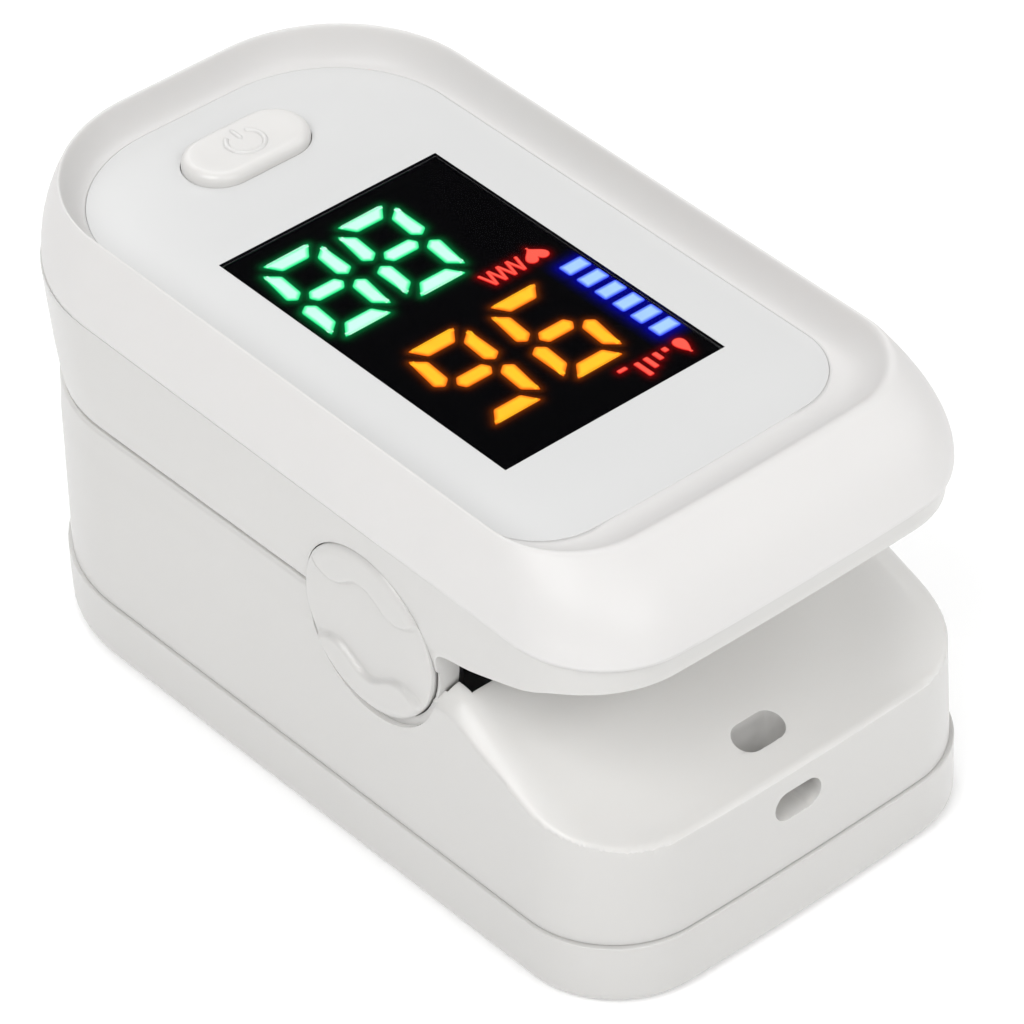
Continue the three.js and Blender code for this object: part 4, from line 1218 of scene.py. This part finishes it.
# CAD pieces that show as they are: a look, the rounding of the edges, the nodes.
CARRIED = (
    (FRAME_PLASTIC, 0.15, "lower_frame"),
    (BOARD, 0.05, "sensor_board", "emitter_board", "main_board"),
    (CHIP, 0.08, "photodiode", "emitter_led"),
    (CHIP, 0.1, "mcu_chip"),
    (STEEL, 0.05, "tact_switch"),
    (LENS, 0.15, "sensor_lens", "emitter_lens"),
    (CELL_WRAP, 0, "battery_left", "battery_right"),
    (STEEL, 0.06, "contact_bridge", "contact_positive", "contact_negative"),
    (STEEL, 0.06, "cover_screw_left", "cover_screw_right"),
    (STEEL, 0.12, "hinge_pin_left", "hinge_pin_right"),
    (STEEL, 0, "battery_spring_left", "battery_spring_right"),
    (STEEL, 0, "torsion_spring_left", "torsion_spring_right"),
    (FLEX, 0, "lower_flex", "upper_flex"),
)


def dress(node, look, edge_width):
    """Gives a CAD piece its look and, where useful, rounded edges."""
    if not node.material_slots:
        node.data.materials.append(look)
    for node_slot in node.material_slots:
        node_slot.material = look
    if edge_width:
        bevel_edges(node, edge_width, 2, 40)


for look, edge_width, *node_names in CARRIED:
    for node_name in node_names:
        dress(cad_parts[node_name], look, edge_width)


# ------------------------------------------------------- floor, light, camera

def floor_paper():
    """White paper that glows a little more the further it is from the object."""
    paper = moulded("floor_paper", grey(0.9), 0.9, spread=0.004, patches=3, grain=400, grain_depth=0.02)
    tree, shader = nodes_of(paper)
    distance = tree.nodes.new("ShaderNodeVectorMath")
    distance.operation = "LENGTH"
    lift = tree.nodes.new("ShaderNodeMapRange")
    set_inputs(lift, {"From Min": 0.10, "From Max": 0.60, "To Min": 0.14, "To Max": 0.75})
    tree.links.new(coordinate(tree), distance.inputs[0])
    tree.links.new(distance.outputs["Value"], lift.inputs["Value"])
    tree.links.new(lift.outputs["Result"], shader.inputs["Emission Strength"])
    set_inputs(shader, {"Emission Color": (1, 1, 1, 1)})
    return paper


def studio():
    """A wide white floor, an even white sky and five soft lamps."""
    reach = 2500
    corners = [(-reach, -reach, 0), (reach, -reach, 0), (reach, reach, 0), (-reach, reach, 0)]
    floor = make_object("floor", mesh_from("floor", corners, [(0, 1, 2, 3)]))
    floor.location.z = -0.05 * MM
    floor.data.materials.append(floor_paper())
    world = bpy.data.worlds.new("studio")
    world.use_nodes = True
    set_inputs(world.node_tree.nodes["Background"], {"Color": (1, 1, 1, 1), "Strength": 0.29})
    bpy.context.scene.world = world
    bpy.context.scene.view_settings.view_transform = "Standard"
    centre = Vector((0, 0, 0.015))
    lights = (
        ("key", (0.42, 0.12, 0.50), 0.40, 2.45),
        ("front", (0.06, 0.52, 0.36), 0.36, 1.2),
        ("top", (-0.15, -0.15, 0.60), 0.40, 0.95),
        ("back", (-0.10, -0.50, 0.40), 0.40, 0.9),
        ("side", (-0.45, 0.25, 0.35), 0.40, 0.8),
    )
    for name, place, size, power in lights:
        data = bpy.data.lights.new(name, "AREA")
        data.size = size
        data.energy = power
        lamp = bpy.data.objects.new(name, data)
        lamp.location = place
        lamp.rotation_euler = (centre - Vector(place)).to_track_quat("-Z", "Y").to_euler()
        bpy.context.scene.collection.objects.link(lamp)


def camera():
    """Looks down at the hinge side and the squeezed end, slightly rolled."""
    turn, height, roll = math.radians(140.86), math.radians(38.45), math.radians(-2.8)
    flat = math.cos(height)
    right = Vector((math.cos(turn), math.sin(turn), 0))
    back = Vector((math.sin(turn) * flat, -math.cos(turn) * flat, math.sin(height)))
    up = back.cross(right)
    rolled_right = right * math.cos(roll) + up * math.sin(roll)
    rolled_up = up * math.cos(roll) - right * math.sin(roll)
    offset_right, offset_up, distance = 1.43, 10.35, 324.0
    eye = rolled_right * offset_right + rolled_up * offset_up + back * distance + Vector((0, 0.42, 0))
    data = bpy.data.cameras.new("camera")
    data.sensor_width = 36
    data.lens = 184.9043
    data.clip_start = 0.01
    data.clip_end = 20
    obj = bpy.data.objects.new("camera", data)
    basis = Matrix((rolled_right, rolled_up, back)).transposed().to_4x4()
    obj.matrix_world = Matrix.Translation(eye * MM) @ basis
    bpy.context.scene.collection.objects.link(obj)
    bpy.context.scene.camera = obj


studio()
camera()
